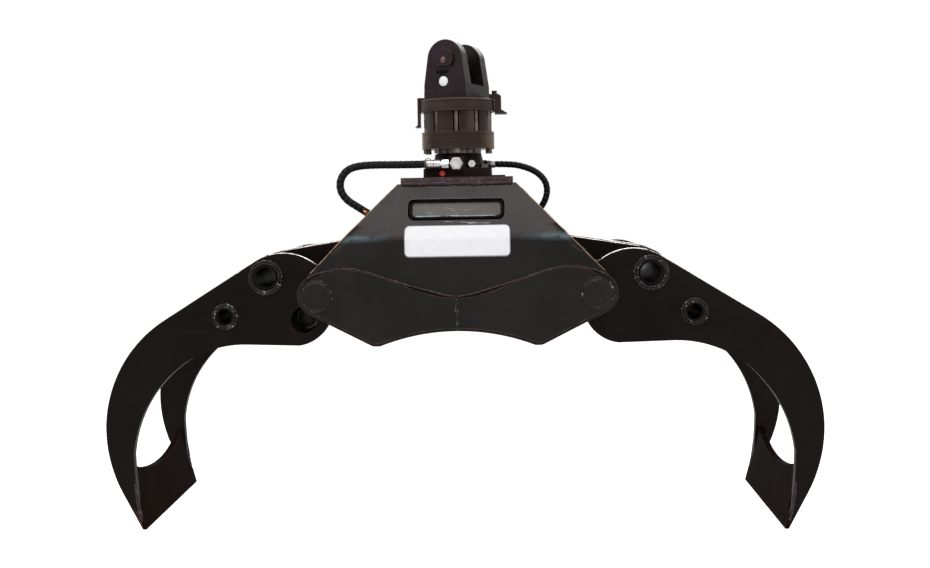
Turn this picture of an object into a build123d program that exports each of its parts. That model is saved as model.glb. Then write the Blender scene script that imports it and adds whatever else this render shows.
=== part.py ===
from build123d import *
import os
from math import acos, asin, cos, degrees, hypot, pi, radians, sin, sqrt, tan

os.makedirs("parts", exist_ok=True)

# A two-arm log grapple, standing open on its blades, with its rotator and crane link on top.
# +X runs from the left arm to the right arm, +Y away from the viewer, and +Z up.
# The origin is on the ground, midway between the blades. All sizes are in millimetres.

# Clearances
running_fit = 0.05
weld_gap = 0.2
side_gap = 0.3

# Arms, measured from each arm's own pivot: outward from the middle, and up
pivot_x = 348
pivot_z = 586
arm_width = 400
arm_plate = 16
pivot_lobe_r = 78
heel_angle = 18
lobe_top_angle = 6
back_start = (165, 85)
back_top = (88, 107)
back_end = (400, -61)
outer_shoulder = (511, -181)
outer_reach = (549, -322)
outer_belly = (537, -420)
tip_shoulder = (507, -495)
tip = (457, -586)
inner_tip_mid = (473, -475)
inner_reach = (478, -398)
inner_mid = (437, -268)
inner_turn = (338, -163.5)
inner_crown = (270, -133)
heel_start = (190, -122)
heel_end = (50, -126)
heel_round = (8, -110)
hub_r = 34
pivot_pin_r = 22
hub_break_near = 102
hub_break_far = 44
access_hole_r = 34

# Cross tubes of the arms
big_tube = (134.5, 46.5)
big_tube_r = 35
big_tube_bore_r = 26
small_tube = (240, -51)
small_tube_r = 25
small_tube_bore_r = 19
tube_stand_out = 5
tube_ring = 6
tube_ring_bevel = 4

# Inner ears that carry the cylinder
ear_in = 100
ear_up = 100
ear_eye_r = 38
ear_plate = 16
ear_gap = 56
ear_pin_r = 17.5
ear_hub_lobe_r = 56
ear_tube_lobe_r = 54
lug_plate = 14
lug_lobe_r = 44
tie_lobe_r = 26
pin_bevel = 1

# Heel plate that joins the arm plates under the pivot
heel_plate = 10
heel_plate_start = (45, -114)
heel_plate_length = 143

# Blade between the arm plates, set in at its top and proud of them at its cutting edge
blade_thickness = 16
blade_edge_thickness = 8
blade_edge_proud = 9
blade_top_inset = 10
blade_bow = 4
blade_top_rise = 421
blade_scallop = 46
lip_height = 46
lip_corner_r = 12

# Synchronising tie rod
tie_out = 39
tie_up = 62
tie_pin_r = 11
tie_eye_r = 24
tie_eye_width = 50
tie_bar_height = 32
tie_bar_thickness = 24

# Cylinder
closing_angle = 64
barrel_r = 48
bore_r = 40
rod_r = 22.5
eye_width = 50
cylinder_eye_r = 32
cap_length = 16
ear_clearance = 3
piston_length = 40
gland_length = 36
gland_seat = 21.6
gland_step = 5
gland_bevel = 3
rod_eye_neck = 12
rod_eye_round = 10
port_wall = 4
port_boss_r = 13
port_boss_height = 14
port_bore_r = 6

# Frame
frame_plate = 12
frame_side_gap = 4
frame_lobe_r = 52
frame_top_half = 153
frame_top_z = 862
frame_bend_z = 724
frame_lean = 91
frame_corner = (216, 458.4)
frame_corner_r = 20
frame_arch_half = 196
frame_arch_z = 457.2
frame_crown_z = 494.5
window_width = 246
window_low_z = 769
window_high_z = 822.5
window_corner_r = 14
window_back = 8
window_back_lap = 14
cheek_plate = 10
cheek_crest = (278, 651)
cheek_dip = (168, 624)
cheek_seam_z = 578.6
cheek_seam_gap = 1
cheek_edge = 8
cap_r = 36
cap_height = 10
cap_bevel = 3
head_half_x = 146
head_half_y = 125
head_plate = 16
head_corner_r = 12
rib_inner_x = 125
rib_plate = 10
rib_low_z = 756
rib_arch_clear = 4

# Rotator, from its flange upward
flange_half = 90
flange_height = 24
flange_corner_r = 24
flange_bolt_spacing = 140
flange_bolt_r = 8
flange_bolt_head_r = 12
flange_bolt_head = 10
neck_low_r = 72
neck_top_r = 62
neck_height = 40
collar_r = 57
collar_height = 11.7
ring_stand = 12
upper_ring_r = 100.5
upper_ring_height = 34
upper_ring_bevel = 3
lower_ring_inset = 2.5
lower_ring_height = 45.5
barrel_inset = 8.5
barrel_height = 53.5
tie_bolt_count = 10
tie_bolt_inset = 13.5
tie_bolt_start = 18
tie_bolt_r = 6
tie_bolt_head_r = 9
groove_r = 9
journal_r = 45
top_journal_r = 30
top_journal_depth = 20
rotor_hub_r = 48
rotor_chamber_r = 60
vane_count = 6
vane_thickness = 8
inlet_r = 8
inlet_depth = 22
inlet_height = 17
inlet_turns = (60, 120)

# Bracket and lug on the upper ring
bracket_width = 36
bracket_plate = 7
bracket_overlap = 12
bracket_low_z = 1014
lug_width = 34
lug_overlap = 14
lug_reach = 18
lug_rise = 14
lug_bolt_r = 7
lug_bolt_height = 10
fin_reach = 33
fin_thickness = 6

# Crane link
link_turn = 24
link_base_height = 38
link_ear_faces = 144
link_ear_plate = 32
link_ear_half = 62
link_top_r = 51
link_pin_rise = 106
link_pin_r = 22.5
link_pin_head_r = 27
link_pin_head = 9
link_pin_flat = 19
ledge_rise = 22
ledge_depth = 6
recess_shift = -7
recess_width = 40
recess_height = 10
recess_depth = 5
recess_drop = 34

# Ports, plugs and hose ends on the rotator's neck
port_rise = 11
port_boss_half = 19
port_boss_proud = 2
banjo_ring_r = 19
banjo_ring = 22
banjo_bolt_r = 8
banjo_head_across = 31
banjo_head = 12
banjo_head_bevel = 2
banjo_bolt_length = 44
left_hose_r = 9.5
left_nipple_r = 7
left_nut_across = 21
left_nut_start = 21
left_nut_length = 17
left_ferrule_start = 43
left_ferrule_end = 78
ferrule_wall = 1.5
right_hose_r = 8.25
right_port_y = 40
right_boss_x = 76
right_boss_wall = 2
right_socket_depth = 38
right_nut_across = 20
right_nut_length = 12
right_ferrule_end = 98
plug_x = -38
plug_z = 888
plug_r = 8
plug_height = 5
plug_bevel = 2
side_fitting_x = 39
side_fitting_r = 10
side_fitting_length = 10
tab_width = 30
tab_length = 36
tab_thickness = 5

# Hose bulkheads on the frame ribs
bulkhead_z = 772
right_bulkhead_y = 60
bulkhead_r = 9
bulkhead_nut_r = 14
bulkhead_nut = 8
bulkhead_ferrule = 24
bulkhead_end = 10
hose_bend = 0.45

# Values that follow from the sizes above
half_width = arm_width / 2
arm_inner_y = half_width - arm_plate
frame_inner_y = half_width + frame_side_gap
frame_outer_y = frame_inner_y + frame_plate
cheek_y = frame_outer_y + cheek_plate
hub_end_y = frame_inner_y - side_gap
ear_inner_y = ear_gap / 2
ear_outer_y = ear_inner_y + ear_plate
lug_far_y = -hub_break_near
lug_near_y = lug_far_y - lug_plate
tie_y = (lug_far_y - ear_outer_y) / 2
ear_x = pivot_x - ear_in
ear_z = pivot_z + ear_up
ear_radius = hypot(ear_in, ear_up)
ear_start = degrees(acos(ear_in / ear_radius))
ear_end_x = pivot_x - ear_radius * cos(radians(ear_start + closing_angle))
stroke = 2 * (ear_end_x - ear_x)
ear_high_z = pivot_z + ear_radius
tie_radius = hypot(tie_out, tie_up)
tie_slot = 2 * (tie_radius - tie_up)
flange_z = frame_top_z + head_plate
flange_top_z = flange_z + flange_height
neck_top_z = flange_top_z + neck_height
lower_ring_r = upper_ring_r - lower_ring_inset
barrel_rib_r = upper_ring_r - barrel_inset
tie_bolt_circle_r = upper_ring_r - tie_bolt_inset
groove_circle_r = tie_bolt_circle_r + groove_r - tie_bolt_r
lower_ring_z = neck_top_z + ring_stand
barrel_z = lower_ring_z + lower_ring_height
upper_ring_z = barrel_z + barrel_height
upper_ring_top_z = upper_ring_z + upper_ring_height
link_pin_z = upper_ring_top_z + link_pin_rise
port_z = flange_top_z + port_rise
port_face_y = flange_half + port_boss_proud
left_hose_y = -port_face_y - banjo_ring / 2
left_bulkhead_y = left_hose_y
head_outer_y = frame_outer_y - frame_lean


def facing(y):
    """The upright plane at y that looks at the viewer."""
    return Plane.XZ.offset(-y)


def on_arm(side, place):
    """Where a place on an arm is, in the upright plane."""
    return (side * (pivot_x + place[0]), pivot_z + place[1])


def tie_place(side):
    """The tie rod's pin on an arm: below the left pivot, above the right one."""
    return (-side * tie_out, side * tie_up)


def save(part, label):
    part.label = label
    export_step(part, f"parts/{label}.step")


# Arms
def arm_outline(side):
    """The outline of an arm plate, as a sketch."""
    heel_low = (-pivot_lobe_r * sin(radians(heel_angle)), -pivot_lobe_r * cos(radians(heel_angle)))
    lobe_top = (pivot_lobe_r * sin(radians(lobe_top_angle)), pivot_lobe_r * cos(radians(lobe_top_angle)))
    with BuildSketch() as outline:
        with BuildLine():
            ThreePointArc(on_arm(side, heel_low), on_arm(side, (-pivot_lobe_r, 0)), on_arm(side, lobe_top))
            ThreePointArc(on_arm(side, lobe_top), on_arm(side, back_top), on_arm(side, back_start))
            Line(on_arm(side, back_start), on_arm(side, back_end))
            ThreePointArc(on_arm(side, back_end), on_arm(side, outer_shoulder), on_arm(side, outer_reach))
            ThreePointArc(on_arm(side, outer_reach), on_arm(side, outer_belly), on_arm(side, tip_shoulder))
            Line(on_arm(side, tip_shoulder), on_arm(side, tip))
            ThreePointArc(on_arm(side, tip), on_arm(side, inner_tip_mid), on_arm(side, inner_reach))
            ThreePointArc(on_arm(side, inner_reach), on_arm(side, inner_mid), on_arm(side, inner_turn))
            ThreePointArc(on_arm(side, inner_turn), on_arm(side, inner_crown), on_arm(side, heel_start))
            Line(on_arm(side, heel_start), on_arm(side, heel_end))
            ThreePointArc(on_arm(side, heel_end), on_arm(side, heel_round), on_arm(side, heel_low))
        make_face()
    return outline.sketch


def make_arm_plate(side, y_far, holes):
    """One side plate of an arm, with its holes as (place, radius)."""
    with BuildPart() as plate:
        with BuildSketch(facing(y_far)):
            add(arm_outline(side))
            for place, radius in holes:
                with Locations(on_arm(side, place)):
                    Circle(radius, mode=Mode.SUBTRACT)
        extrude(amount=arm_plate)
    return plate.part


def make_cross_tube(side, place, outer_r, inner_r):
    """A cross tube with the welded ring that seats it on each plate."""
    with BuildPart() as tube:
        with BuildSketch(facing(half_width + tube_stand_out)):
            with Locations(on_arm(side, place)):
                Circle(outer_r)
        extrude(amount=arm_width + 2 * tube_stand_out)
        for face_y in (half_width + tube_stand_out, -half_width):
            with BuildSketch(facing(face_y)):
                with Locations(on_arm(side, place)):
                    Circle(outer_r + tube_ring)
            extrude(amount=tube_stand_out)
        ring_edges = tube.edges().filter_by(GeomType.CIRCLE).group_by(SortBy.RADIUS)[-1].sort_by(Axis.Y)
        chamfer([ring_edges[0], ring_edges[-1]], tube_ring_bevel)
        with BuildSketch(facing(half_width + tube_stand_out)):
            with Locations(on_arm(side, place)):
                Circle(inner_r)
        extrude(amount=arm_width + 2 * tube_stand_out, mode=Mode.SUBTRACT)
    return tube.part


def tie_lobe(side, lobe_r):
    """The lobe of a plate that reaches from the hub round the tie pin, as a sketch."""
    with BuildSketch() as lobe:
        with Locations(on_arm(side, (0, 0))):
            Circle(ear_hub_lobe_r / 2)
        with Locations(on_arm(side, tie_place(side))):
            Circle(lobe_r)
        make_hull()
    return lobe.sketch


def make_ear(side, y_far, thickness, with_eye, lobe_r):
    """A plate round the hub and the big tube, with an eye for the cylinder and a lobe for the tie pin."""
    with BuildPart() as ear:
        with BuildSketch(facing(y_far)):
            with Locations(on_arm(side, (0, 0))):
                Circle(ear_hub_lobe_r)
            with Locations(on_arm(side, big_tube)):
                Circle(ear_tube_lobe_r)
            if with_eye:
                with Locations(on_arm(side, (-ear_in, ear_up))):
                    Circle(ear_eye_r)
            make_hull()
            if lobe_r:
                add(tie_lobe(side, lobe_r))
                with Locations(on_arm(side, tie_place(side))):
                    Circle(tie_pin_r + running_fit, mode=Mode.SUBTRACT)
            with Locations(on_arm(side, (0, 0))):
                Circle(hub_r + weld_gap, mode=Mode.SUBTRACT)
            with Locations(on_arm(side, big_tube)):
                Circle(big_tube_r + weld_gap, mode=Mode.SUBTRACT)
            if with_eye:
                with Locations(on_arm(side, (-ear_in, ear_up))):
                    Circle(ear_pin_r + running_fit, mode=Mode.SUBTRACT)
        extrude(amount=thickness)
    return ear.part


def make_hub(side):
    """The pivot tube in two lengths, with the tie rod's gap between them."""
    with BuildPart() as hub:
        for y_far, y_near in ((hub_end_y, -hub_break_far), (-hub_break_near, -hub_end_y)):
            with BuildSketch(facing(y_far)):
                with Locations(on_arm(side, (0, 0))):
                    Circle(hub_r)
                    Circle(pivot_pin_r + running_fit, mode=Mode.SUBTRACT)
            extrude(amount=y_far - y_near)
    return hub.part


def blade_profile(side):
    """The section of the blade: a bowed plate that thins to its cutting edge."""
    low = tip[0] - blade_edge_proud
    high = inner_reach[0] + blade_top_inset
    middle = ((low + high) / 2 + blade_bow, (tip[1] + inner_reach[1]) / 2)
    with BuildSketch() as profile:
        with BuildLine():
            inner = ThreePointArc(
                on_arm(side, (low, tip[1])),
                on_arm(side, middle),
                on_arm(side, (high, inner_reach[1])),
            )
            outer = ThreePointArc(
                on_arm(side, (low + blade_edge_thickness, tip[1])),
                on_arm(side, (middle[0] + blade_thickness, middle[1])),
                on_arm(side, (high + blade_thickness, inner_reach[1])),
            )
            Line(inner @ 0, outer @ 0)
            Line(inner @ 1, outer @ 1)
        make_face()
    return profile.sketch


def make_lip(side):
    """The full-width foot of the blade, which lies in front of the arm plates' inner edges."""
    with BuildPart() as lip:
        with BuildSketch(facing(half_width)):
            add(blade_profile(side))
            with Locations((-side * side_gap, 0)):
                add(arm_outline(side), mode=Mode.SUBTRACT)
        extrude(amount=arm_width)
        with BuildSketch(Plane.YZ):
            with Locations((0, pivot_z + tip[1])):
                RectangleRounded(arm_width, 2 * lip_height, lip_corner_r)
        extrude(amount=side * 2 * (pivot_x + tip[0]), mode=Mode.INTERSECT)
    return lip.part


def make_blade(side):
    """The curved blade between the plates, scalloped on top, with its full-width foot."""
    arc_drop = inner_reach[1] - tip[1]
    top_z = pivot_z - blade_top_rise
    with BuildPart() as blade:
        with BuildSketch(facing(arm_inner_y - weld_gap)):
            add(blade_profile(side))
        extrude(amount=2 * (arm_inner_y - weld_gap))
        with BuildSketch(Plane.YZ):
            with BuildLine():
                scallop = ThreePointArc((-half_width, top_z), (0, top_z - blade_scallop), (half_width, top_z))
                Line(scallop @ 1, (half_width, top_z + arc_drop))
                Line((half_width, top_z + arc_drop), (-half_width, top_z + arc_drop))
                Line((-half_width, top_z + arc_drop), scallop @ 0)
            make_face()
        extrude(amount=side * 2 * (pivot_x + tip[0]), mode=Mode.SUBTRACT)
        add(make_lip(side))
    return blade.part


def make_heel_plate(side):
    """The plate across the arm, between the arm plates' lower edges."""
    with BuildPart() as heel:
        with BuildSketch(facing(arm_inner_y - weld_gap)):
            with Locations(on_arm(side, (heel_plate_start[0] + heel_plate_length / 2, heel_plate_start[1]))):
                Rectangle(heel_plate_length, heel_plate)
        extrude(amount=2 * (arm_inner_y - weld_gap))
    return heel.part


def make_pin(side, place, radius, y_near, y_far):
    """A plain pin along Y with a chamfered end."""
    with BuildPart() as pin:
        with BuildSketch(facing(y_far)):
            with Locations(on_arm(side, place)):
                Circle(radius)
        extrude(amount=y_far - y_near)
        chamfer(pin.edges().filter_by(GeomType.CIRCLE), pin_bevel)
    return pin.part


for side, name in ((-1, "left"), (1, "right")):
    plate_holes = [
        ((0, 0), hub_r + weld_gap),
        (big_tube, big_tube_r + weld_gap),
        (small_tube, small_tube_r + weld_gap),
    ]
    access = [(tie_place(side), access_hole_r)] if side < 0 else []
    save(make_arm_plate(side, -arm_inner_y, plate_holes + access), f"{name}_front_plate")
    save(make_arm_plate(side, half_width, plate_holes), f"{name}_rear_plate")
    save(make_cross_tube(side, big_tube, big_tube_r, big_tube_bore_r), f"{name}_big_tube")
    save(make_cross_tube(side, small_tube, small_tube_r, small_tube_bore_r), f"{name}_small_tube")
    with BuildPart() as ears:
        add(make_ear(side, -ear_inner_y, ear_plate, True, tie_lobe_r))
        add(make_ear(side, ear_outer_y, ear_plate, True, None))
    save(ears.part, f"{name}_ears")
    save(make_ear(side, lug_far_y, lug_plate, False, lug_lobe_r), f"{name}_tie_lug")
    save(make_hub(side), f"{name}_hub")
    save(make_blade(side), f"{name}_blade")
    save(make_heel_plate(side), f"{name}_heel_plate")
    save(make_pin(side, (-ear_in, ear_up), ear_pin_r, -ear_outer_y, ear_outer_y), f"{name}_ear_pin")
    save(make_pin(side, tie_place(side), tie_pin_r, lug_near_y, -ear_inner_y), f"{name}_tie_pin")

# Tie rod, with its open pivot as an upright slot at the right end
left_tie = on_arm(-1, tie_place(-1))
right_tie = on_arm(1, tie_place(1))
slot_top = (right_tie[0], right_tie[1] + tie_slot)
with BuildPart() as tie_rod:
    with BuildSketch(facing(tie_y + tie_bar_thickness / 2)):
        with Locations(left_tie, right_tie):
            Circle(tie_bar_height / 2)
        make_hull()
    extrude(amount=tie_bar_thickness)
    with BuildSketch(facing(tie_y + tie_eye_width / 2)):
        with Locations(left_tie):
            Circle(tie_eye_r)
    extrude(amount=tie_eye_width)
    with BuildSketch(facing(tie_y + tie_eye_width / 2)):
        with Locations(right_tie, slot_top):
            Circle(tie_eye_r)
        make_hull()
    extrude(amount=tie_eye_width)
    with BuildSketch(facing(tie_y + tie_eye_width / 2)):
        with Locations(left_tie):
            Circle(tie_pin_r + running_fit)
    extrude(amount=tie_eye_width, mode=Mode.SUBTRACT)
    with BuildSketch(facing(tie_y + tie_eye_width / 2)):
        with Locations(right_tie, slot_top):
            Circle(tie_pin_r + side_gap)
        make_hull()
    extrude(amount=tie_eye_width, mode=Mode.SUBTRACT)
save(tie_rod.part, "tie_rod")

# Cylinder, lying along X between the ears
closed_way = radians(ear_start + closing_angle - 90)
lobe_turn = asin((ear_hub_lobe_r - ear_eye_r) / ear_radius)
barrel_depth = sqrt(barrel_r**2 - ear_inner_y**2)
lobe_way = closed_way + lobe_turn
barrel_setback = (ear_eye_r + barrel_depth * sin(lobe_way)) / cos(lobe_way) + ear_clearance
bore_start_x = barrel_setback + cap_length - ear_x
bore_end_x = bore_start_x + stroke + piston_length + 2 * side_gap
gland_seat_x = bore_end_x + gland_seat
gland_end_x = bore_end_x + gland_length


def across(x):
    """The upright plane at x that looks along +X, centred on the cylinder's axis."""
    return Plane.YZ.offset(x).shift_origin((x, 0, ear_z))


with BuildPart() as barrel:
    with BuildSketch(across(bore_start_x - cap_length)):
        Circle(barrel_r)
    extrude(amount=gland_seat_x - bore_start_x + cap_length)
    with BuildSketch(across(-ear_x)):
        Rectangle(eye_width, 2 * cylinder_eye_r)
    extrude(amount=barrel_setback)
    with BuildSketch(facing(eye_width / 2)):
        with Locations((-ear_x, ear_z)):
            Circle(cylinder_eye_r)
    extrude(amount=eye_width)
    for port_x in (bore_start_x + port_boss_r, bore_end_x - port_boss_r):
        with BuildSketch(facing(barrel_r + port_boss_height)):
            with Locations((port_x, ear_z)):
                Circle(port_boss_r)
        extrude(amount=port_boss_height + port_wall)
    with BuildSketch(across(bore_start_x)):
        Circle(bore_r)
    extrude(amount=gland_seat_x - bore_start_x, mode=Mode.SUBTRACT)
    with BuildSketch(facing(eye_width / 2)):
        with Locations((-ear_x, ear_z)):
            Circle(ear_pin_r + running_fit)
    extrude(amount=eye_width, mode=Mode.SUBTRACT)
    for port_x in (bore_start_x + port_boss_r, bore_end_x - port_boss_r):
        with BuildSketch(facing(barrel_r + port_boss_height)):
            with Locations((port_x, ear_z)):
                Circle(port_bore_r)
        extrude(amount=port_boss_height + barrel_r, mode=Mode.SUBTRACT)
save(barrel.part, "cylinder_barrel")

with BuildPart() as gland:
    with BuildSketch(across(bore_end_x)):
        Circle(bore_r - running_fit)
    extrude(amount=gland_seat_x - bore_end_x)
    with BuildSketch(across(gland_seat_x)):
        Circle(barrel_r - gland_step)
    extrude(amount=gland_end_x - gland_seat_x)
    chamfer(gland.edges().filter_by(GeomType.CIRCLE).sort_by(Axis.X)[-1], gland_bevel)
    with BuildSketch(across(bore_end_x)):
        Circle(rod_r + running_fit)
    extrude(amount=gland_length, mode=Mode.SUBTRACT)
save(gland.part, "cylinder_gland")

with BuildPart() as rod:
    with BuildSketch(across(bore_start_x + side_gap)):
        Circle(rod_r)
    extrude(amount=ear_x - cylinder_eye_r - bore_start_x)
    with BuildSketch(across(ear_x - cylinder_eye_r - rod_eye_neck / 2)):
        RectangleRounded(eye_width - rod_eye_neck / 2, eye_width, rod_eye_round)
    extrude(amount=cylinder_eye_r / 2)
    with BuildSketch(facing(eye_width / 2)):
        with Locations((ear_x, ear_z)):
            Circle(cylinder_eye_r)
    extrude(amount=eye_width)
    with BuildSketch(facing(eye_width / 2)):
        with Locations((ear_x, ear_z)):
            Circle(ear_pin_r + running_fit)
    extrude(amount=eye_width, mode=Mode.SUBTRACT)
save(rod.part, "piston_rod")

with BuildPart() as piston:
    with BuildSketch(across(bore_start_x + side_gap)):
        Circle(bore_r - running_fit)
        Circle(rod_r + running_fit, mode=Mode.SUBTRACT)
    extrude(amount=piston_length)
save(piston.part, "piston")

# Frame
lean_slope = frame_lean / (frame_top_z - frame_bend_z)
level_thickness = frame_plate * hypot(1, lean_slope)
inner_bend_z = frame_bend_z - (level_thickness - frame_plate) / lean_slope
inner_top_y = head_outer_y - level_thickness


def frame_outline(inset=0):
    """The outline of a frame plate, or of a plate that lies this far inside its edge."""
    with BuildSketch() as outline:
        with Locations((-pivot_x, pivot_z), (pivot_x, pivot_z)):
            Circle(frame_lobe_r - inset)
        with Locations((0, frame_top_z - frame_plate / 2)):
            Rectangle(2 * frame_top_half - 2 * inset, frame_plate)
        corner = (frame_corner[0] - frame_corner_r / 2, frame_corner[1] + frame_corner_r)
        with Locations((-corner[0], corner[1]), corner):
            Circle(frame_corner_r - inset)
        make_hull()
        with BuildSketch(mode=Mode.SUBTRACT):
            with BuildLine():
                arch = ThreePointArc(
                    (-frame_arch_half, frame_arch_z + inset),
                    (0, frame_crown_z + inset),
                    (frame_arch_half, frame_arch_z + inset),
                )
                Polyline(arch @ 0, (-frame_arch_half, 0), (frame_arch_half, 0), arch @ 1)
            make_face()
        with Locations((-pivot_x, pivot_z), (pivot_x, pivot_z)):
            Circle(pivot_pin_r + running_fit, mode=Mode.SUBTRACT)
    return outline.sketch


with BuildPart() as front_plate:
    with BuildSketch(Plane.YZ):
        with BuildLine():
            Polyline(
                (-frame_outer_y, 0),
                (-frame_outer_y, frame_bend_z),
                (-head_outer_y, frame_top_z),
                (-inner_top_y, frame_top_z),
                (-frame_inner_y, inner_bend_z),
                (-frame_inner_y, 0),
                close=True,
            )
        make_face()
    extrude(amount=pivot_x + 2 * frame_lobe_r, both=True)
    with BuildSketch(facing(0)):
        add(frame_outline())
        with Locations((0, (window_low_z + window_high_z) / 2)):
            RectangleRounded(window_width, window_high_z - window_low_z, window_corner_r, mode=Mode.SUBTRACT)
    extrude(amount=2 * frame_outer_y, mode=Mode.INTERSECT)
save(front_plate.part, "frame_front_plate")
save(mirror(front_plate.part, about=Plane.XZ), "frame_rear_plate")


def make_cheek(side):
    """A doubler plate welded over one half of the frame plate's lower part."""
    with BuildPart() as cheek:
        with BuildSketch(facing(-frame_outer_y)):
            add(frame_outline(cheek_edge))
            with BuildSketch(mode=Mode.INTERSECT):
                with BuildLine():
                    wave = Spline(
                        (side * (pivot_x + frame_lobe_r), pivot_z),
                        (side * cheek_crest[0], cheek_crest[1]),
                        (side * cheek_dip[0], cheek_dip[1]),
                        (side * cheek_seam_gap / 2, cheek_seam_z),
                    )
                    Polyline(
                        wave @ 1,
                        (side * cheek_seam_gap / 2, 0),
                        (side * (pivot_x + frame_lobe_r), 0),
                        wave @ 0,
                    )
                make_face()
        extrude(amount=cheek_plate)
    return cheek.part


def make_pivot_pin(side):
    """A pivot pin with its welded cap on the front cheek."""
    with BuildPart() as pin:
        with BuildSketch(facing(cheek_y)):
            with Locations(on_arm(side, (0, 0))):
                Circle(pivot_pin_r)
        extrude(amount=2 * cheek_y)
        with BuildSketch(facing(-cheek_y)):
            with Locations(on_arm(side, (0, 0))):
                Circle(cap_r)
        extrude(amount=cap_height)
        chamfer(pin.edges().filter_by(GeomType.CIRCLE).sort_by(Axis.Y)[0], cap_bevel)
    return pin.part


for side, name in ((-1, "left"), (1, "right")):
    save(make_pivot_pin(side), f"pivot_pin_{name}")

with BuildPart() as front_cheeks:
    add(make_cheek(-1))
    add(make_cheek(1))
save(front_cheeks.part, "front_cheeks")
save(mirror(front_cheeks.part, about=Plane.XZ), "rear_cheeks")

with BuildPart() as rear_caps:
    with BuildSketch(facing(cheek_y + cap_height)):
        with Locations((-pivot_x, pivot_z), (pivot_x, pivot_z)):
            Circle(cap_r)
    extrude(amount=cap_height)
    chamfer(rear_caps.edges().filter_by(GeomType.CIRCLE).group_by(Axis.Y)[-1], cap_bevel)
save(rear_caps.part, "pivot_caps")

with BuildPart() as head:
    with BuildSketch(Plane.XY.offset(frame_top_z)):
        RectangleRounded(2 * head_half_x, 2 * head_half_y, head_corner_r)
        with GridLocations(flange_bolt_spacing, flange_bolt_spacing, 2, 2):
            Circle(flange_bolt_r + running_fit, mode=Mode.SUBTRACT)
    extrude(amount=head_plate)
save(head.part, "head_plate")


def rib_edge(z):
    """How far from the middle the frame plate's inner face is at a height."""
    return inner_top_y + (frame_top_z - z) * lean_slope - weld_gap


back_low_z = window_low_z - window_back_lap
back_high_z = window_high_z + window_back_lap
back_depth = window_back * hypot(1, lean_slope)
with BuildPart() as front_back:
    with BuildSketch(Plane.YZ):
        with BuildLine():
            Polyline(
                (-rib_edge(back_low_z), back_low_z),
                (-rib_edge(back_high_z), back_high_z),
                (back_depth - rib_edge(back_high_z), back_high_z),
                (back_depth - rib_edge(back_low_z), back_low_z),
                close=True,
            )
        make_face()
    extrude(amount=rib_inner_x - weld_gap, both=True)
with BuildPart() as window_backs:
    add(front_back.part)
    add(mirror(front_back.part, about=Plane.XZ))
save(window_backs.part, "window_backs")


def make_rib(side, bulkhead_y):
    """A rib under the head plate, arched over the cylinder, with the hose bulkhead's hole."""
    start_x = side * rib_inner_x
    with BuildPart() as rib:
        with BuildSketch(Plane.YZ.offset(start_x)):
            with BuildLine():
                Polyline(
                    (-rib_edge(rib_low_z), rib_low_z),
                    (-rib_edge(frame_top_z), frame_top_z),
                    (rib_edge(frame_top_z), frame_top_z),
                    (rib_edge(rib_low_z), rib_low_z),
                    close=True,
                )
            make_face()
            with Locations((0, ear_high_z)):
                Circle(barrel_r + rib_arch_clear, mode=Mode.SUBTRACT)
            with Locations((bulkhead_y, bulkhead_z)):
                Circle(bulkhead_r + running_fit, mode=Mode.SUBTRACT)
        extrude(amount=side * rib_plate)
    return rib.part


save(make_rib(-1, left_bulkhead_y), "frame_rib_left")
save(make_rib(1, right_bulkhead_y), "frame_rib_right")

# Rotator, the half bolted to the grapple
with BuildPart() as flange:
    with BuildSketch(Plane.XY.offset(flange_z)):
        RectangleRounded(2 * flange_half, 2 * flange_half, flange_corner_r)
    extrude(amount=flange_height)
    with BuildSketch(Plane.XY.offset(flange_top_z)):
        Circle(neck_low_r)
    with BuildSketch(Plane.XY.offset(neck_top_z)):
        Circle(neck_top_r)
    loft()
    with BuildSketch(Plane.XZ):
        with Locations((0, port_z)):
            Rectangle(2 * port_boss_half, 2 * port_boss_half)
    extrude(amount=port_face_y)
    with BuildSketch(Plane.XZ):
        with Locations((side_fitting_x, port_z)):
            Circle(side_fitting_r)
    extrude(amount=neck_low_r)
    with BuildSketch(Plane.YZ):
        with Locations((right_port_y, port_z)):
            Circle(right_nut_across / 2 + right_boss_wall)
    extrude(amount=right_boss_x)
    with BuildSketch(facing(-port_face_y)):
        with Locations((0, port_z)):
            Circle(banjo_bolt_r + running_fit)
    extrude(amount=-banjo_ring, mode=Mode.SUBTRACT)
    with BuildSketch(Plane.YZ.offset(right_boss_x)):
        with Locations((right_port_y, port_z)):
            Circle(left_nipple_r)
    extrude(amount=-right_socket_depth, mode=Mode.SUBTRACT)
    with BuildSketch(Plane.XY.offset(flange_z)):
        with GridLocations(flange_bolt_spacing, flange_bolt_spacing, 2, 2):
            Circle(flange_bolt_r + running_fit)
    extrude(amount=flange_height, mode=Mode.SUBTRACT)
save(flange.part, "rotator_flange")

with BuildPart() as flange_bolts:
    with BuildSketch(Plane.XY.offset(frame_top_z)):
        with GridLocations(flange_bolt_spacing, flange_bolt_spacing, 2, 2):
            Circle(flange_bolt_r)
    extrude(amount=head_plate + flange_height)
    with BuildSketch(Plane.XY.offset(flange_top_z)):
        with GridLocations(flange_bolt_spacing, flange_bolt_spacing, 2, 2):
            RegularPolygon(flange_bolt_head_r, 6)
    extrude(amount=flange_bolt_head)
save(flange_bolts.part, "flange_bolts")

with BuildPart() as shaft:
    with BuildSketch(Plane.XY.offset(neck_top_z)):
        Circle(collar_r)
    extrude(amount=collar_height)
    with BuildSketch(Plane.XY.offset(neck_top_z)):
        Circle(journal_r)
    extrude(amount=barrel_z + side_gap - neck_top_z)
    with BuildSketch(Plane.XY.offset(neck_top_z)):
        Circle(top_journal_r)
    extrude(amount=upper_ring_z + top_journal_depth - neck_top_z)
save(shaft.part, "rotator_shaft")

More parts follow.
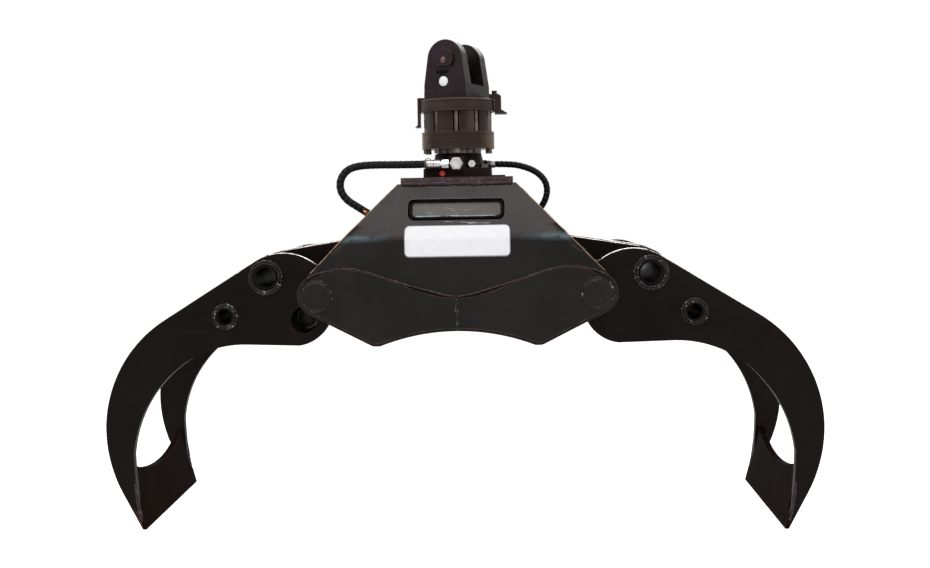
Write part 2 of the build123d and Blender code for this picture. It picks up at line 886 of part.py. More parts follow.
with BuildPart() as rotor:
    with BuildSketch(Plane.XY.offset(barrel_z + side_gap)):
        with PolarLocations(rotor_hub_r / 2 + rotor_chamber_r / 2, vane_count):
            Rectangle(rotor_chamber_r - rotor_hub_r + vane_thickness, vane_thickness)
        Circle(rotor_hub_r)
        Circle(rotor_chamber_r - side_gap, mode=Mode.INTERSECT)
        Circle(top_journal_r + running_fit, mode=Mode.SUBTRACT)
    extrude(amount=barrel_height - 2 * side_gap)
save(rotor.part, "rotor")

# Rotator, the half that turns with the crane link
with BuildPart() as lower_ring:
    with BuildSketch(Plane.XY.offset(lower_ring_z)):
        Circle(lower_ring_r)
        Circle(journal_r + running_fit, mode=Mode.SUBTRACT)
        with PolarLocations(tie_bolt_circle_r, tie_bolt_count, tie_bolt_start):
            Circle(tie_bolt_r + running_fit, mode=Mode.SUBTRACT)
    extrude(amount=lower_ring_height)
save(lower_ring.part, "lower_ring")

with BuildPart() as ribbed_barrel:
    with BuildSketch(Plane.XY.offset(barrel_z)):
        Circle(barrel_rib_r)
        Circle(rotor_chamber_r, mode=Mode.SUBTRACT)
        with PolarLocations(groove_circle_r, tie_bolt_count, tie_bolt_start):
            Circle(groove_r, mode=Mode.SUBTRACT)
    extrude(amount=barrel_height)
save(ribbed_barrel.part, "rotator_barrel")


def inlet_plane(turn):
    """The plane that touches the upper ring at an inlet and faces outward."""
    way = (cos(radians(turn)), sin(radians(turn)), 0)
    return Plane(
        origin=(way[0] * upper_ring_r, way[1] * upper_ring_r, upper_ring_z + inlet_height),
        z_dir=way,
    )


with BuildPart() as upper_ring:
    with BuildSketch(Plane.XY.offset(upper_ring_z)):
        Circle(upper_ring_r)
    extrude(amount=upper_ring_height)
    chamfer(upper_ring.edges().filter_by(GeomType.CIRCLE).sort_by(Axis.Z)[-1], upper_ring_bevel)
    with BuildSketch(Plane.XY.offset(upper_ring_z)):
        Circle(top_journal_r + running_fit)
    extrude(amount=top_journal_depth + side_gap, mode=Mode.SUBTRACT)
    for turn in inlet_turns:
        with BuildSketch(inlet_plane(turn)):
            Circle(inlet_r)
        extrude(amount=-inlet_depth, mode=Mode.SUBTRACT)
save(upper_ring.part, "upper_ring")

with BuildPart() as ring_bracket:
    with BuildSketch(Plane.XZ.offset(-bracket_width / 2)):
        with BuildLine():
            Polyline(
                (-upper_ring_r - side_gap, upper_ring_top_z),
                (-upper_ring_r + bracket_overlap, upper_ring_top_z),
                (-upper_ring_r + bracket_overlap, upper_ring_top_z + bracket_plate),
                (-upper_ring_r - bracket_plate, upper_ring_top_z + bracket_plate),
                (-upper_ring_r - bracket_plate, bracket_low_z + bracket_plate),
                (-upper_ring_r - 2 * bracket_plate, bracket_low_z),
                (-upper_ring_r - side_gap, bracket_low_z),
                close=True,
            )
        make_face()
    extrude(amount=bracket_width)
save(ring_bracket.part, "ring_bracket")

with BuildPart() as ring_lug:
    with BuildSketch(Plane.XZ.offset(-lug_width / 2)):
        with BuildLine():
            Polyline(
                (upper_ring_r - lug_overlap, upper_ring_top_z),
                (upper_ring_r + side_gap, upper_ring_top_z),
                (upper_ring_r + side_gap, upper_ring_z - fin_thickness),
                (upper_ring_r + fin_reach, upper_ring_z - fin_thickness),
                (upper_ring_r + fin_reach, upper_ring_z - fin_thickness / 2),
                (upper_ring_r + lug_reach, upper_ring_z + fin_thickness),
                (upper_ring_r + lug_reach, upper_ring_top_z + lug_rise - fin_thickness),
                (upper_ring_r + lug_reach - fin_thickness, upper_ring_top_z + lug_rise),
                (upper_ring_r - lug_overlap, upper_ring_top_z + lug_rise),
                close=True,
            )
        make_face()
    extrude(amount=lug_width)
    with BuildSketch(Plane.XY.offset(upper_ring_top_z + lug_rise)):
        with Locations((upper_ring_r, 0)):
            RegularPolygon(lug_bolt_r, 6)
    extrude(amount=lug_bolt_height)
save(ring_lug.part, "ring_lug")

with BuildPart() as tie_bolts:
    with BuildSketch(Plane.XY.offset(lower_ring_z)):
        with PolarLocations(tie_bolt_circle_r, tie_bolt_count, tie_bolt_start):
            Circle(tie_bolt_r)
    extrude(amount=upper_ring_z - lower_ring_z)
    with BuildSketch(Plane.XY.offset(lower_ring_z)):
        with PolarLocations(tie_bolt_circle_r, tie_bolt_count, tie_bolt_start):
            RegularPolygon(tie_bolt_head_r, 6)
    extrude(amount=-ring_stand + running_fit)
save(tie_bolts.part, "tie_bolts")

# Crane link
pin_way = (sin(radians(link_turn)), cos(radians(link_turn)), 0)
level_way = (cos(radians(link_turn)), -sin(radians(link_turn)), 0)
faces_half = link_ear_faces / 2


def on_link(distance):
    """The upright plane across the link's pin, at a distance along the pin from the middle."""
    return Plane(
        origin=(pin_way[0] * distance, pin_way[1] * distance, 0),
        x_dir=level_way,
        z_dir=(-pin_way[0], -pin_way[1], 0),
    )


base_plane = Plane(origin=(0, 0, upper_ring_top_z), x_dir=level_way, z_dir=(0, 0, 1))
with BuildPart() as link:
    with BuildSketch(base_plane):
        Rectangle(2 * link_ear_half, link_ear_faces)
    extrude(amount=link_base_height)
    with BuildSketch(base_plane):
        RectangleRounded(2 * link_ear_half, link_ear_faces + 2 * ledge_depth, ledge_depth)
    extrude(amount=ledge_rise)
    for far in (faces_half, link_ear_plate - faces_half):
        with BuildSketch(on_link(far)):
            with Locations((0, upper_ring_top_z + link_base_height / 2)):
                Rectangle(2 * link_ear_half, link_base_height)
            with Locations((0, link_pin_z)):
                Circle(link_top_r)
            make_hull()
        extrude(amount=link_ear_plate)
    with BuildSketch(on_link(faces_half)):
        with Locations((0, link_pin_z)):
            Circle(link_pin_r + running_fit)
    extrude(amount=link_ear_faces, mode=Mode.SUBTRACT)
    with BuildSketch(on_link(-faces_half)):
        with Locations((recess_shift, link_pin_z - recess_drop)):
            SlotOverall(recess_width, recess_height)
    extrude(amount=-recess_depth, mode=Mode.SUBTRACT)
save(link.part, "crane_link")

with BuildPart() as link_pin:
    with BuildSketch(on_link(faces_half)):
        with Locations((0, link_pin_z)):
            Circle(link_pin_r)
    extrude(amount=link_ear_faces)
    with BuildSketch(on_link(-faces_half)):
        with Locations((0, link_pin_z)):
            Circle(link_pin_head_r)
        with Locations((0, link_pin_z + link_pin_head_r - link_pin_flat)):
            Rectangle(2 * link_pin_head_r, 2 * link_pin_head_r, mode=Mode.INTERSECT)
    extrude(amount=link_pin_head)
save(link_pin.part, "link_pin")

# Hydraulic fittings on the neck
with BuildPart() as banjo:
    with BuildSketch(facing(-port_face_y)):
        with Locations((0, port_z)):
            Circle(banjo_ring_r)
    extrude(amount=banjo_ring)
    with BuildSketch(Plane.YZ):
        with Locations((-port_face_y - banjo_ring / 2, port_z)):
            Circle(left_nipple_r)
    extrude(amount=-left_nut_start)
    with BuildSketch(facing(-port_face_y)):
        with Locations((0, port_z)):
            Circle(banjo_bolt_r + running_fit)
    extrude(amount=banjo_ring, mode=Mode.SUBTRACT)
save(banjo.part, "banjo")

with BuildPart() as banjo_bolt:
    with BuildSketch(facing(-port_face_y + banjo_ring)):
        with Locations((0, port_z)):
            Circle(banjo_bolt_r)
    extrude(amount=banjo_bolt_length)
    with BuildSketch(facing(-port_face_y - banjo_ring)):
        with Locations((0, port_z)):
            RegularPolygon(banjo_head_across / 2, 6, major_radius=False)
    extrude(amount=banjo_head)
    chamfer(banjo_bolt.faces().sort_by(Axis.Y)[0].edges(), banjo_head_bevel)
save(banjo_bolt.part, "banjo_bolt")

with BuildPart() as left_hose_end:
    with BuildSketch(Plane.YZ.offset(-left_nut_start)):
        with Locations((left_hose_y, port_z)):
            RegularPolygon(left_nut_across / 2, 6, major_radius=False)
    extrude(amount=-left_nut_length)
    with BuildSketch(Plane.YZ.offset(-left_nut_start - left_nut_length)):
        with Locations((left_hose_y, port_z)):
            Circle(left_nipple_r)
    extrude(amount=left_nut_start + left_nut_length - left_ferrule_start)
    with BuildSketch(Plane.YZ.offset(-left_ferrule_start)):
        with Locations((left_hose_y, port_z)):
            Circle(left_hose_r + ferrule_wall)
    extrude(amount=left_ferrule_start - left_ferrule_end)
save(left_hose_end.part, "left_hose_end")

with BuildPart() as right_hose_end:
    with BuildSketch(Plane.YZ.offset(right_boss_x)):
        with Locations((right_port_y, port_z)):
            RegularPolygon(right_nut_across / 2, 6, major_radius=False)
    extrude(amount=right_nut_length)
    with BuildSketch(Plane.YZ.offset(right_boss_x + right_nut_length)):
        with Locations((right_port_y, port_z)):
            Circle(right_hose_r + ferrule_wall)
    extrude(amount=right_ferrule_end - right_boss_x - right_nut_length)
save(right_hose_end.part, "right_hose_end")

with BuildPart() as port_plug:
    with BuildSketch(facing(-flange_half)):
        with Locations((plug_x, plug_z)):
            Circle(plug_r)
    extrude(amount=plug_height)
    chamfer(port_plug.edges().filter_by(GeomType.CIRCLE).sort_by(Axis.Y)[0], plug_bevel)
save(port_plug.part, "port_plug")

with BuildPart() as side_fitting:
    with BuildSketch(facing(-neck_low_r)):
        with Locations((side_fitting_x, port_z)):
            RegularPolygon(side_fitting_r, 6)
    extrude(amount=side_fitting_length)
save(side_fitting.part, "side_fitting")

with BuildPart() as side_tab:
    with BuildSketch(Plane.XY.offset(flange_z)):
        with Locations((flange_half + tab_length / 2, 0)):
            Rectangle(tab_length, tab_width)
    extrude(amount=tab_thickness)
save(side_tab.part, "side_tab")


def make_bulkhead(side, y):
    """A hose bulkhead through a rib, with the hose's ferrule on its outer side."""
    rib_out = side * (rib_inner_x + rib_plate)
    rib_in = side * rib_inner_x
    ferrule_start = rib_out + side * bulkhead_nut
    with BuildPart() as bulkhead:
        with BuildSketch(Plane.YZ.offset(rib_in)):
            with Locations((y, bulkhead_z)):
                Circle(bulkhead_r)
        extrude(amount=side * rib_plate)
        with BuildSketch(Plane.YZ.offset(rib_out)):
            with Locations((y, bulkhead_z)):
                RegularPolygon(bulkhead_nut_r, 6)
        extrude(amount=side * bulkhead_nut)
        with BuildSketch(Plane.YZ.offset(ferrule_start)):
            with Locations((y, bulkhead_z)):
                Circle(left_hose_r + ferrule_wall)
        extrude(amount=side * bulkhead_ferrule)
        with BuildSketch(Plane.YZ.offset(rib_in)):
            with Locations((y, bulkhead_z)):
                RegularPolygon(bulkhead_nut_r, 6)
        extrude(amount=-side * bulkhead_nut)
        with BuildSketch(Plane.YZ.offset(rib_in - side * bulkhead_nut)):
            with Locations((y, bulkhead_z)):
                Circle(bulkhead_r)
        extrude(amount=-side * bulkhead_end)
    return bulkhead.part


with BuildPart() as bulkheads:
    add(make_bulkhead(-1, left_bulkhead_y))
    add(make_bulkhead(1, right_bulkhead_y))
save(bulkheads.part, "hose_bulkheads")

# Hoses
hose_end_x = rib_inner_x + rib_plate + bulkhead_nut + bulkhead_ferrule
left_route = [
    (-left_ferrule_end, left_hose_y, port_z),
    (-150, left_hose_y, port_z),
    (-212, left_hose_y, 914),
    (-258, left_hose_y, 912),
    (-288, left_hose_y, 902),
    (-306, left_hose_y, 877),
    (-306, left_hose_y, 847),
    (-288, left_hose_y, 822),
    (-259, left_hose_y, 804),
    (-230, left_hose_y, 785),
    (-203, left_hose_y, bulkhead_z),
    (-hose_end_x, left_hose_y, bulkhead_z),
]
right_route = [
    (right_ferrule_end, right_port_y, port_z),
    (142, right_port_y, port_z),
    (179, right_port_y, 905),
    (211, right_port_y, 891),
    (234, right_port_y, 868),
    (241, right_port_y, 842),
    (236, 42, 816),
    (224, 48, 794),
    (206, 56, 778),
    (186, right_bulkhead_y, bulkhead_z),
    (hose_end_x, right_bulkhead_y, bulkhead_z),
]


def corner_radii(route):
    """The arc radius at each corner of a hose's route, as large as its two runs allow."""
    radii = []
    for before, here, after in zip(route, route[1:], route[2:]):
        run_in = Vector(here) - Vector(before)
        run_out = Vector(after) - Vector(here)
        turn = radians(run_in.get_angle(run_out))
        radii.append(hose_bend * min(run_in.length, run_out.length) / tan(turn / 2))
    return radii


def make_hose(route, radius):
    """A hose as a tube of straight runs joined by arcs."""
    radii = corner_radii(route)
    with BuildPart() as hose:
        with BuildLine():
            path = FilletPolyline(*route, radius=radii)
        with BuildSketch(Plane(origin=path @ 0, z_dir=path % 0)):
            Circle(radius)
        sweep()
    print("radii", [round(r) for r in radii], "length", round(path.length, 1))
    print("volume over section times length", round(hose.part.volume / (pi * radius**2 * path.length), 5))
    return hose.part


save(make_hose(left_route, left_hose_r), "left_hose")
save(make_hose(right_route, right_hose_r), "right_hose")
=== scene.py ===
from math import cos, pi, radians, sin

import bpy
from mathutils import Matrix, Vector, noise
from mathutils.bvhtree import BVHTree


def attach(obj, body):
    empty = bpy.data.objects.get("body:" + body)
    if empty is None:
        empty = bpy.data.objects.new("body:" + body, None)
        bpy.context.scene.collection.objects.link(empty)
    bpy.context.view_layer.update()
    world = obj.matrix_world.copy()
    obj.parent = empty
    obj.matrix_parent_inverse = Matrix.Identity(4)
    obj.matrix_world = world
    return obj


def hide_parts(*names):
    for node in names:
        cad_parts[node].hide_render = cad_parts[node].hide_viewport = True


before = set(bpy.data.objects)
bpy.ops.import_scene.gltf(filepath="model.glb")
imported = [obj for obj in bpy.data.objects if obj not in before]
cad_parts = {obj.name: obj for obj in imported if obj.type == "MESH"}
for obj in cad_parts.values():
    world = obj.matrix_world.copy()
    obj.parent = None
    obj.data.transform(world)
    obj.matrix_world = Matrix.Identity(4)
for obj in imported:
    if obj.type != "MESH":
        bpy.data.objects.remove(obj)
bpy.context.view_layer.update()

scene = bpy.context.scene

# Camera: in front of the grapple and a little to its right, turned back and rolled by a degree or so
camera_data = bpy.data.cameras.new("camera")
camera_data.sensor_fit = "HORIZONTAL"
camera_data.sensor_width = 36
camera_data.lens = 37.4
camera_data.shift_x = 0.0045
camera_data.shift_y = -0.1203
camera = bpy.data.objects.new("camera", camera_data)
camera.location = (0.1265, -2.6156, 0.8538)
camera.rotation_euler = (radians(90.844), radians(1.012), radians(2.654))
scene.collection.objects.link(camera)
scene.camera = camera

# Hose routes, in metres, as the solid tubes have them
LEFT_ROUTE = [
    (-0.078, -0.103, 0.913), (-0.150, -0.103, 0.913), (-0.212, -0.103, 0.914), (-0.258, -0.103, 0.912),
    (-0.288, -0.103, 0.902), (-0.306, -0.103, 0.877), (-0.306, -0.103, 0.847), (-0.288, -0.103, 0.822),
    (-0.259, -0.103, 0.804), (-0.230, -0.103, 0.785), (-0.203, -0.103, 0.772), (-0.167, -0.103, 0.772),
]
RIGHT_ROUTE = [
    (0.098, 0.040, 0.913), (0.142, 0.040, 0.913), (0.179, 0.040, 0.905), (0.211, 0.040, 0.891),
    (0.234, 0.040, 0.868), (0.241, 0.040, 0.842), (0.236, 0.042, 0.816), (0.224, 0.048, 0.794),
    (0.206, 0.056, 0.778), (0.186, 0.060, 0.772), (0.167, 0.060, 0.772),
]

# Places repeated from the CAD, in metres
PIVOT = (0.348, 0.586)
BIG_TUBE = (0.1345, 0.0465)
SMALL_TUBE = (0.240, -0.051)
ARM_FACE = 0.200
FRAME_FACE = 0.216
CHEEK_FACE = 0.226
HEAD_FACE = 0.125
PORT_Z = 0.913
LINK_TURN = radians(24)
LINK_PIN_Z = 1.193
LINK_FACE = 0.072
LEFT_FITTING = (-0.0432, -0.103, PORT_Z)
RIGHT_FITTING = (0.0862, 0.040, PORT_Z)

FLOOR_Z = -0.19
FLOOR_GLOW = 0.82
WORLD_LIGHT = 0.34


# ---- Materials

def new_material(name):
    """A material with its node tree cleared down to a Principled shader."""
    material = bpy.data.materials.new(name)
    material.use_nodes = True
    tree = material.node_tree
    tree.nodes.clear()
    out = tree.nodes.new("ShaderNodeOutputMaterial")
    shader = tree.nodes.new("ShaderNodeBsdfPrincipled")
    tree.links.new(shader.outputs["BSDF"], out.inputs["Surface"])
    return material, tree, shader


def noise_node(tree, scale, detail=4, rough=0.6, distortion=0, stretch=None):
    """Noise over the object's own coordinates, stretched along an axis where asked."""
    place = tree.nodes.new("ShaderNodeTexCoord")
    source = place.outputs["Object"]
    if stretch:
        mapping = tree.nodes.new("ShaderNodeMapping")
        mapping.inputs["Scale"].default_value = stretch
        tree.links.new(source, mapping.inputs["Vector"])
        source = mapping.outputs["Vector"]
    node = tree.nodes.new("ShaderNodeTexNoise")
    node.inputs["Scale"].default_value = scale
    node.inputs["Detail"].default_value = detail
    node.inputs["Roughness"].default_value = rough
    node.inputs["Distortion"].default_value = distortion
    tree.links.new(source, node.inputs["Vector"])
    return node.outputs["Fac"]


def remap(tree, value, low, high, to_low=0.0, to_high=1.0):
    """A value stretched from one range to another, and held inside it."""
    node = tree.nodes.new("ShaderNodeMapRange")
    node.inputs["From Min"].default_value = low
    node.inputs["From Max"].default_value = high
    node.inputs["To Min"].default_value = to_low
    node.inputs["To Max"].default_value = to_high
    tree.links.new(value, node.inputs["Value"])
    return node.outputs["Result"]


def math_node(tree, operation, first, second):
    """A sum of two sockets or numbers, clamped to 0 to 1."""
    node = tree.nodes.new("ShaderNodeMath")
    node.operation = operation
    node.use_clamp = True
    for socket, value in zip(node.inputs, (first, second)):
        if isinstance(value, (int, float)):
            socket.default_value = value
        else:
            tree.links.new(value, socket)
    return node.outputs[0]


def mix_colour(tree, factor, first, second):
    """A blend of two colours, each a socket or a tuple."""
    node = tree.nodes.new("ShaderNodeMix")
    node.data_type = "RGBA"
    tree.links.new(factor, node.inputs["Factor"])
    for socket, value in ((node.inputs["A"], first), (node.inputs["B"], second)):
        if isinstance(value, tuple):
            socket.default_value = (*value, 1)
        else:
            tree.links.new(value, socket)
    return node.outputs["Result"]


def edge_mask(tree, radius, low=0.02, high=0.25):
    """White where the surface turns sharply within the radius: a plate's edges and corners."""
    bevel = tree.nodes.new("ShaderNodeBevel")
    bevel.samples = 4
    bevel.inputs["Radius"].default_value = radius
    geometry = tree.nodes.new("ShaderNodeNewGeometry")
    dot = tree.nodes.new("ShaderNodeVectorMath")
    dot.operation = "DOT_PRODUCT"
    tree.links.new(bevel.outputs["Normal"], dot.inputs[0])
    tree.links.new(geometry.outputs["Normal"], dot.inputs[1])
    return remap(tree, math_node(tree, "SUBTRACT", 1.0, dot.outputs["Value"]), low, high)


def band_mask(tree, axis, middle, half, soft):
    """White within a band along an axis, fading out over the soft width."""
    away = tree.nodes.new("ShaderNodeMath")
    away.operation = "SUBTRACT"
    tree.links.new(axis_value(tree, axis), away.inputs[0])
    away.inputs[1].default_value = middle
    size = tree.nodes.new("ShaderNodeMath")
    size.operation = "ABSOLUTE"
    tree.links.new(away.outputs[0], size.inputs[0])
    return remap(tree, size.outputs[0], half + soft, half)


def round_bend(tree, shader, height, radius):
    """Shade the plate's bend as a rounded one, only near the height of the bend."""
    bevel = tree.nodes.new("ShaderNodeBevel")
    bevel.samples = 12
    bevel.inputs["Radius"].default_value = radius
    mixer = tree.nodes.new("ShaderNodeMix")
    mixer.data_type = "VECTOR"
    tree.links.new(band_mask(tree, "Z", height, radius * 0.9, radius * 0.2), mixer.inputs["Factor"])
    tree.links.new(shader.inputs["Normal"].links[0].from_socket, mixer.inputs[4])
    tree.links.new(bevel.outputs["Normal"], mixer.inputs[5])
    tree.links.new(mixer.outputs[1], shader.inputs["Normal"])


def soften_bend(material, direction):
    """Even out the light over a bent sheet, by drawing its normals towards one direction."""
    tree = material.node_tree
    shader = tree.nodes["Principled BSDF"]
    blend = tree.nodes.new("ShaderNodeVectorMath")
    blend.operation = "ADD"
    tree.links.new(shader.inputs["Normal"].links[0].from_socket, blend.inputs[0])
    blend.inputs[1].default_value = direction
    unit = tree.nodes.new("ShaderNodeVectorMath")
    unit.operation = "NORMALIZE"
    tree.links.new(blend.outputs["Vector"], unit.inputs[0])
    tree.links.new(unit.outputs["Vector"], shader.inputs["Normal"])


def axis_value(tree, axis):
    """A place's X, Y or Z in metres."""
    place = tree.nodes.new("ShaderNodeTexCoord")
    split = tree.nodes.new("ShaderNodeSeparateXYZ")
    tree.links.new(place.outputs["Object"], split.inputs[0])
    return split.outputs[axis]


def off_middle(tree):
    """How far a place lies to the left or right of the grapple's middle."""
    node = tree.nodes.new("ShaderNodeMath")
    node.operation = "ABSOLUTE"
    tree.links.new(axis_value(tree, "X"), node.inputs[0])
    return node.outputs[0]


def background_rays(tree):
    """1 for the rays that show the background: straight to the camera, through or off a surface."""
    path = tree.nodes.new("ShaderNodeLightPath")
    seen = math_node(tree, "MAXIMUM", path.outputs["Is Camera Ray"], path.outputs["Is Transmission Ray"])
    return math_node(tree, "MAXIMUM", seen, path.outputs["Is Glossy Ray"])


def add_bump(tree, shader, heights):
    """Bumps in a chain: each height is (value, distance in metres)."""
    normal = None
    for value, distance in heights:
        bump = tree.nodes.new("ShaderNodeBump")
        bump.inputs["Distance"].default_value = distance
        tree.links.new(value, bump.inputs["Height"])
        if normal:
            tree.links.new(normal, bump.inputs["Normal"])
        normal = bump.outputs["Normal"]
    tree.links.new(normal, shader.inputs["Normal"])


COPPER = (0.13, 0.062, 0.036)
PALE_COPPER = (0.21, 0.125, 0.085)
RING_EDGE = (0.22, 0.135, 0.075)
DARK_RUST, PALE_RUST = (0.13, 0.035, 0.008), (0.34, 0.12, 0.025)
# The colour laid on upward faces: dust, and a painted highlight on the tops.
DUST_AND_TOP_HIGHLIGHT = (0.16, 0.125, 0.10)
# The colour of the painted highlight on the frame's bend.
BLUE_GLINT = (0.085, 0.135, 0.155)
WARM_SHEEN = (1.0, 0.84, 0.80)
BROWN_SHEEN = (1.0, 0.76, 0.72)
VIOLET_SHEEN = (1.0, 0.76, 0.84)
BEND_Z = 0.724
BEND_RADIUS = 0.034


def painted(
    name, base, tint, edge, roughness, wear, specular, sheen=WARM_SHEEN, edge_width=0.0022, rust_below=None,
    dust_and_top_highlight=None, spots_and_glints=None, spots_and_glints_from=0.52, spots_and_glints_scale=75, flanks=None, cast=False, turned=False,
    bend=None,
):
    """Satin enamel over steel: uneven colour, runs, orange peel and worn edges; where asked, rust, upward
    faces lightened by dust and a painted highlight, sparse coloured spots, which on the bright weld paint are
    painted glints, coloured flanks, and a bend shaded as rounded with a painted blue highlight on it.
    """
    material, tree, shader = new_material(name)
    broad = noise_node(tree, 5.5, 5, 0.6, 0.4)
    fine = noise_node(tree, 90, 3, 0.7)
    runs = noise_node(tree, 14, 4, 0.6, 0.2, stretch=(1, 1, 0.22))
    colour = mix_colour(tree, remap(tree, broad, 0.36, 0.66), base, tint)
    darker = tuple(value * 0.55 for value in base)
    colour = mix_colour(tree, remap(tree, runs, 0.5, 0.72, 0, 0.45), colour, darker)
    speck = remap(tree, noise_node(tree, 420, 2, 0.5), 0.66, 0.74, 0, 0.5)
    colour = mix_colour(tree, speck, colour, tuple(value * 2.2 for value in tint))
    scratch = remap(tree, noise_node(tree, 60, 2, 0.4, 1.5, stretch=(0.2, 1, 1.6)), 0.69, 0.73, 0, 0.35)
    colour = mix_colour(tree, scratch, colour, tuple(value * 3 for value in tint))
    patch = remap(tree, noise_node(tree, 38, 5, 0.7), 0.38, 0.62, 0, wear)
    colour = mix_colour(tree, math_node(tree, "MULTIPLY", edge_mask(tree, edge_width), patch), colour, edge)
    # Sparse coloured spots; on the bright weld paint they are painted glints.
    if spots_and_glints:
        cloud = noise_node(tree, spots_and_glints_scale, 5, 0.75, 0.6)
        patch = remap(tree, cloud, spots_and_glints_from, spots_and_glints_from + 0.12, 0, 0.85)
        colour = mix_colour(tree, patch, colour, spots_and_glints)
    if flanks:
        side = remap(tree, off_middle(tree), 0.062, 0.086)
        patch = remap(tree, noise_node(tree, 24, 5, 0.7, 0.5), 0.36, 0.54, 0, 0.9)
        colour = mix_colour(tree, math_node(tree, "MULTIPLY", side, patch), colour, flanks)
    # A painted blue highlight on the bend, towards the plate's sides.
    if bend:
        band = band_mask(tree, "Z", bend + 0.004, 0.001, 0.012)
        glint = math_node(tree, "MULTIPLY", band, remap(tree, off_middle(tree), 0.15, 0.30))
        glint = math_node(tree, "MULTIPLY", glint, remap(tree, noise_node(tree, 30, 4, 0.7), 0.4, 0.62))
        colour = mix_colour(tree, glint, colour, BLUE_GLINT)
    rough = remap(tree, broad, 0.3, 0.7, roughness - 0.07, roughness + 0.09)
    rough = math_node(tree, "ADD", rough, remap(tree, fine, 0.3, 0.7, -0.03, 0.04))
    if rust_below:
        low = remap(tree, axis_value(tree, "Z"), rust_below, 0.004)
        low = math_node(tree, "MULTIPLY", low, remap(tree, axis_value(tree, "X"), -0.74, -0.78))
        rust = math_node(tree, "MULTIPLY", low, remap(tree, noise_node(tree, 34, 6, 0.75, 0.3), 0.42, 0.6))
        rusty = mix_colour(tree, remap(tree, fine, 0.35, 0.65), DARK_RUST, PALE_RUST)
        colour = mix_colour(tree, rust, colour, rusty)
        rough = math_node(tree, "ADD", rough, math_node(tree, "MULTIPLY", rust, 0.35))
    # Upward faces lightened: dust, and a painted highlight on the tops, strongest on the crane link.
    if dust_and_top_highlight:
        geometry = tree.nodes.new("ShaderNodeNewGeometry")
        split = tree.nodes.new("ShaderNodeSeparateXYZ")
        tree.links.new(geometry.outputs["Normal"], split.inputs[0])
        upward = remap(tree, split.outputs["Z"], 0.3, 0.95, 0, dust_and_top_highlight)
        layer = math_node(tree, "MULTIPLY", upward, remap(tree, noise_node(tree, 26, 6, 0.7), 0.35, 0.7))
        colour = mix_colour(tree, layer, colour, DUST_AND_TOP_HIGHLIGHT)
        rough = math_node(tree, "ADD", rough, math_node(tree, "MULTIPLY", layer, 0.4))
    tree.links.new(colour, shader.inputs["Base Color"])
    tree.links.new(rough, shader.inputs["Roughness"])
    shader.inputs["Specular IOR Level"].default_value = specular
    shader.inputs["Specular Tint"].default_value = (*sheen, 1)
    if turned:
        lines = noise_node(tree, 30, 3, 0.6, stretch=(0.3, 0.3, 14))
        add_bump(tree, shader, [(lines, 0.0007), (broad, 0.0008)])
    elif cast:
        lumps = noise_node(tree, 210, 4, 0.65)
        add_bump(tree, shader, [(lumps, 0.0005), (broad, 0.0008)])
    else:
        peel = noise_node(tree, 520, 2, 0.5)
        waves = noise_node(tree, 9, 2, 0.5)
        add_bump(tree, shader, [(waves, 0.0016), (peel, 0.00007), (runs, 0.0002)])
    if bend:
        round_bend(tree, shader, bend, BEND_RADIUS)
    return material


def metal(name, base, tint, roughness, brushed=False, stain=0.3, metallic=1.0):
    """Bare or plated metal with stains and fine scratches."""
    material, tree, shader = new_material(name)
    cloud = noise_node(tree, 60, 5, 0.65, 0.3)
    stretch = (1, 12, 12) if brushed else None
    grain = noise_node(tree, 700, 3, 0.6, stretch=stretch)
    colour = mix_colour(tree, remap(tree, cloud, 0.4, 0.68), base, tint)
    dirt = remap(tree, noise_node(tree, 22, 6, 0.7), 0.5, 0.72, 0, stain)
    colour = mix_colour(tree, dirt, colour, tuple(value * 0.3 for value in tint))
    tree.links.new(colour, shader.inputs["Base Color"])
    rough = remap(tree, grain, 0.3, 0.7, roughness - 0.05, roughness + 0.08)
    rough = math_node(tree, "ADD", rough, math_node(tree, "MULTIPLY", dirt, 0.5))
    tree.links.new(rough, shader.inputs["Roughness"])
    shader.inputs["Metallic"].default_value = metallic
    add_bump(tree, shader, [(grain, 0.00004), (cloud, 0.00012)])
    return material


def moulded(name, base, tint, roughness, grain_scale, grain_depth, specular=0.5):
    """Rubber or plastic with a fine moulded grain."""
    material, tree, shader = new_material(name)
    cloud = noise_node(tree, 45, 4, 0.6)
    grain = noise_node(tree, grain_scale, 3, 0.6)
    colour = mix_colour(tree, remap(tree, cloud, 0.35, 0.7), base, tint)
    tree.links.new(colour, shader.inputs["Base Color"])
    rough = remap(tree, grain, 0.3, 0.7, roughness - 0.06, roughness + 0.1)
    tree.links.new(rough, shader.inputs["Roughness"])
    shader.inputs["Specular IOR Level"].default_value = specular
    add_bump(tree, shader, [(grain, grain_depth)])
    return material


arm_paint = painted(
    "arm_paint", (0.0030, 0.0022, 0.0022), (0.0066, 0.0047, 0.0047), COPPER, 0.42, 0.6, specular=0.0713,
    rust_below=0.055,
)
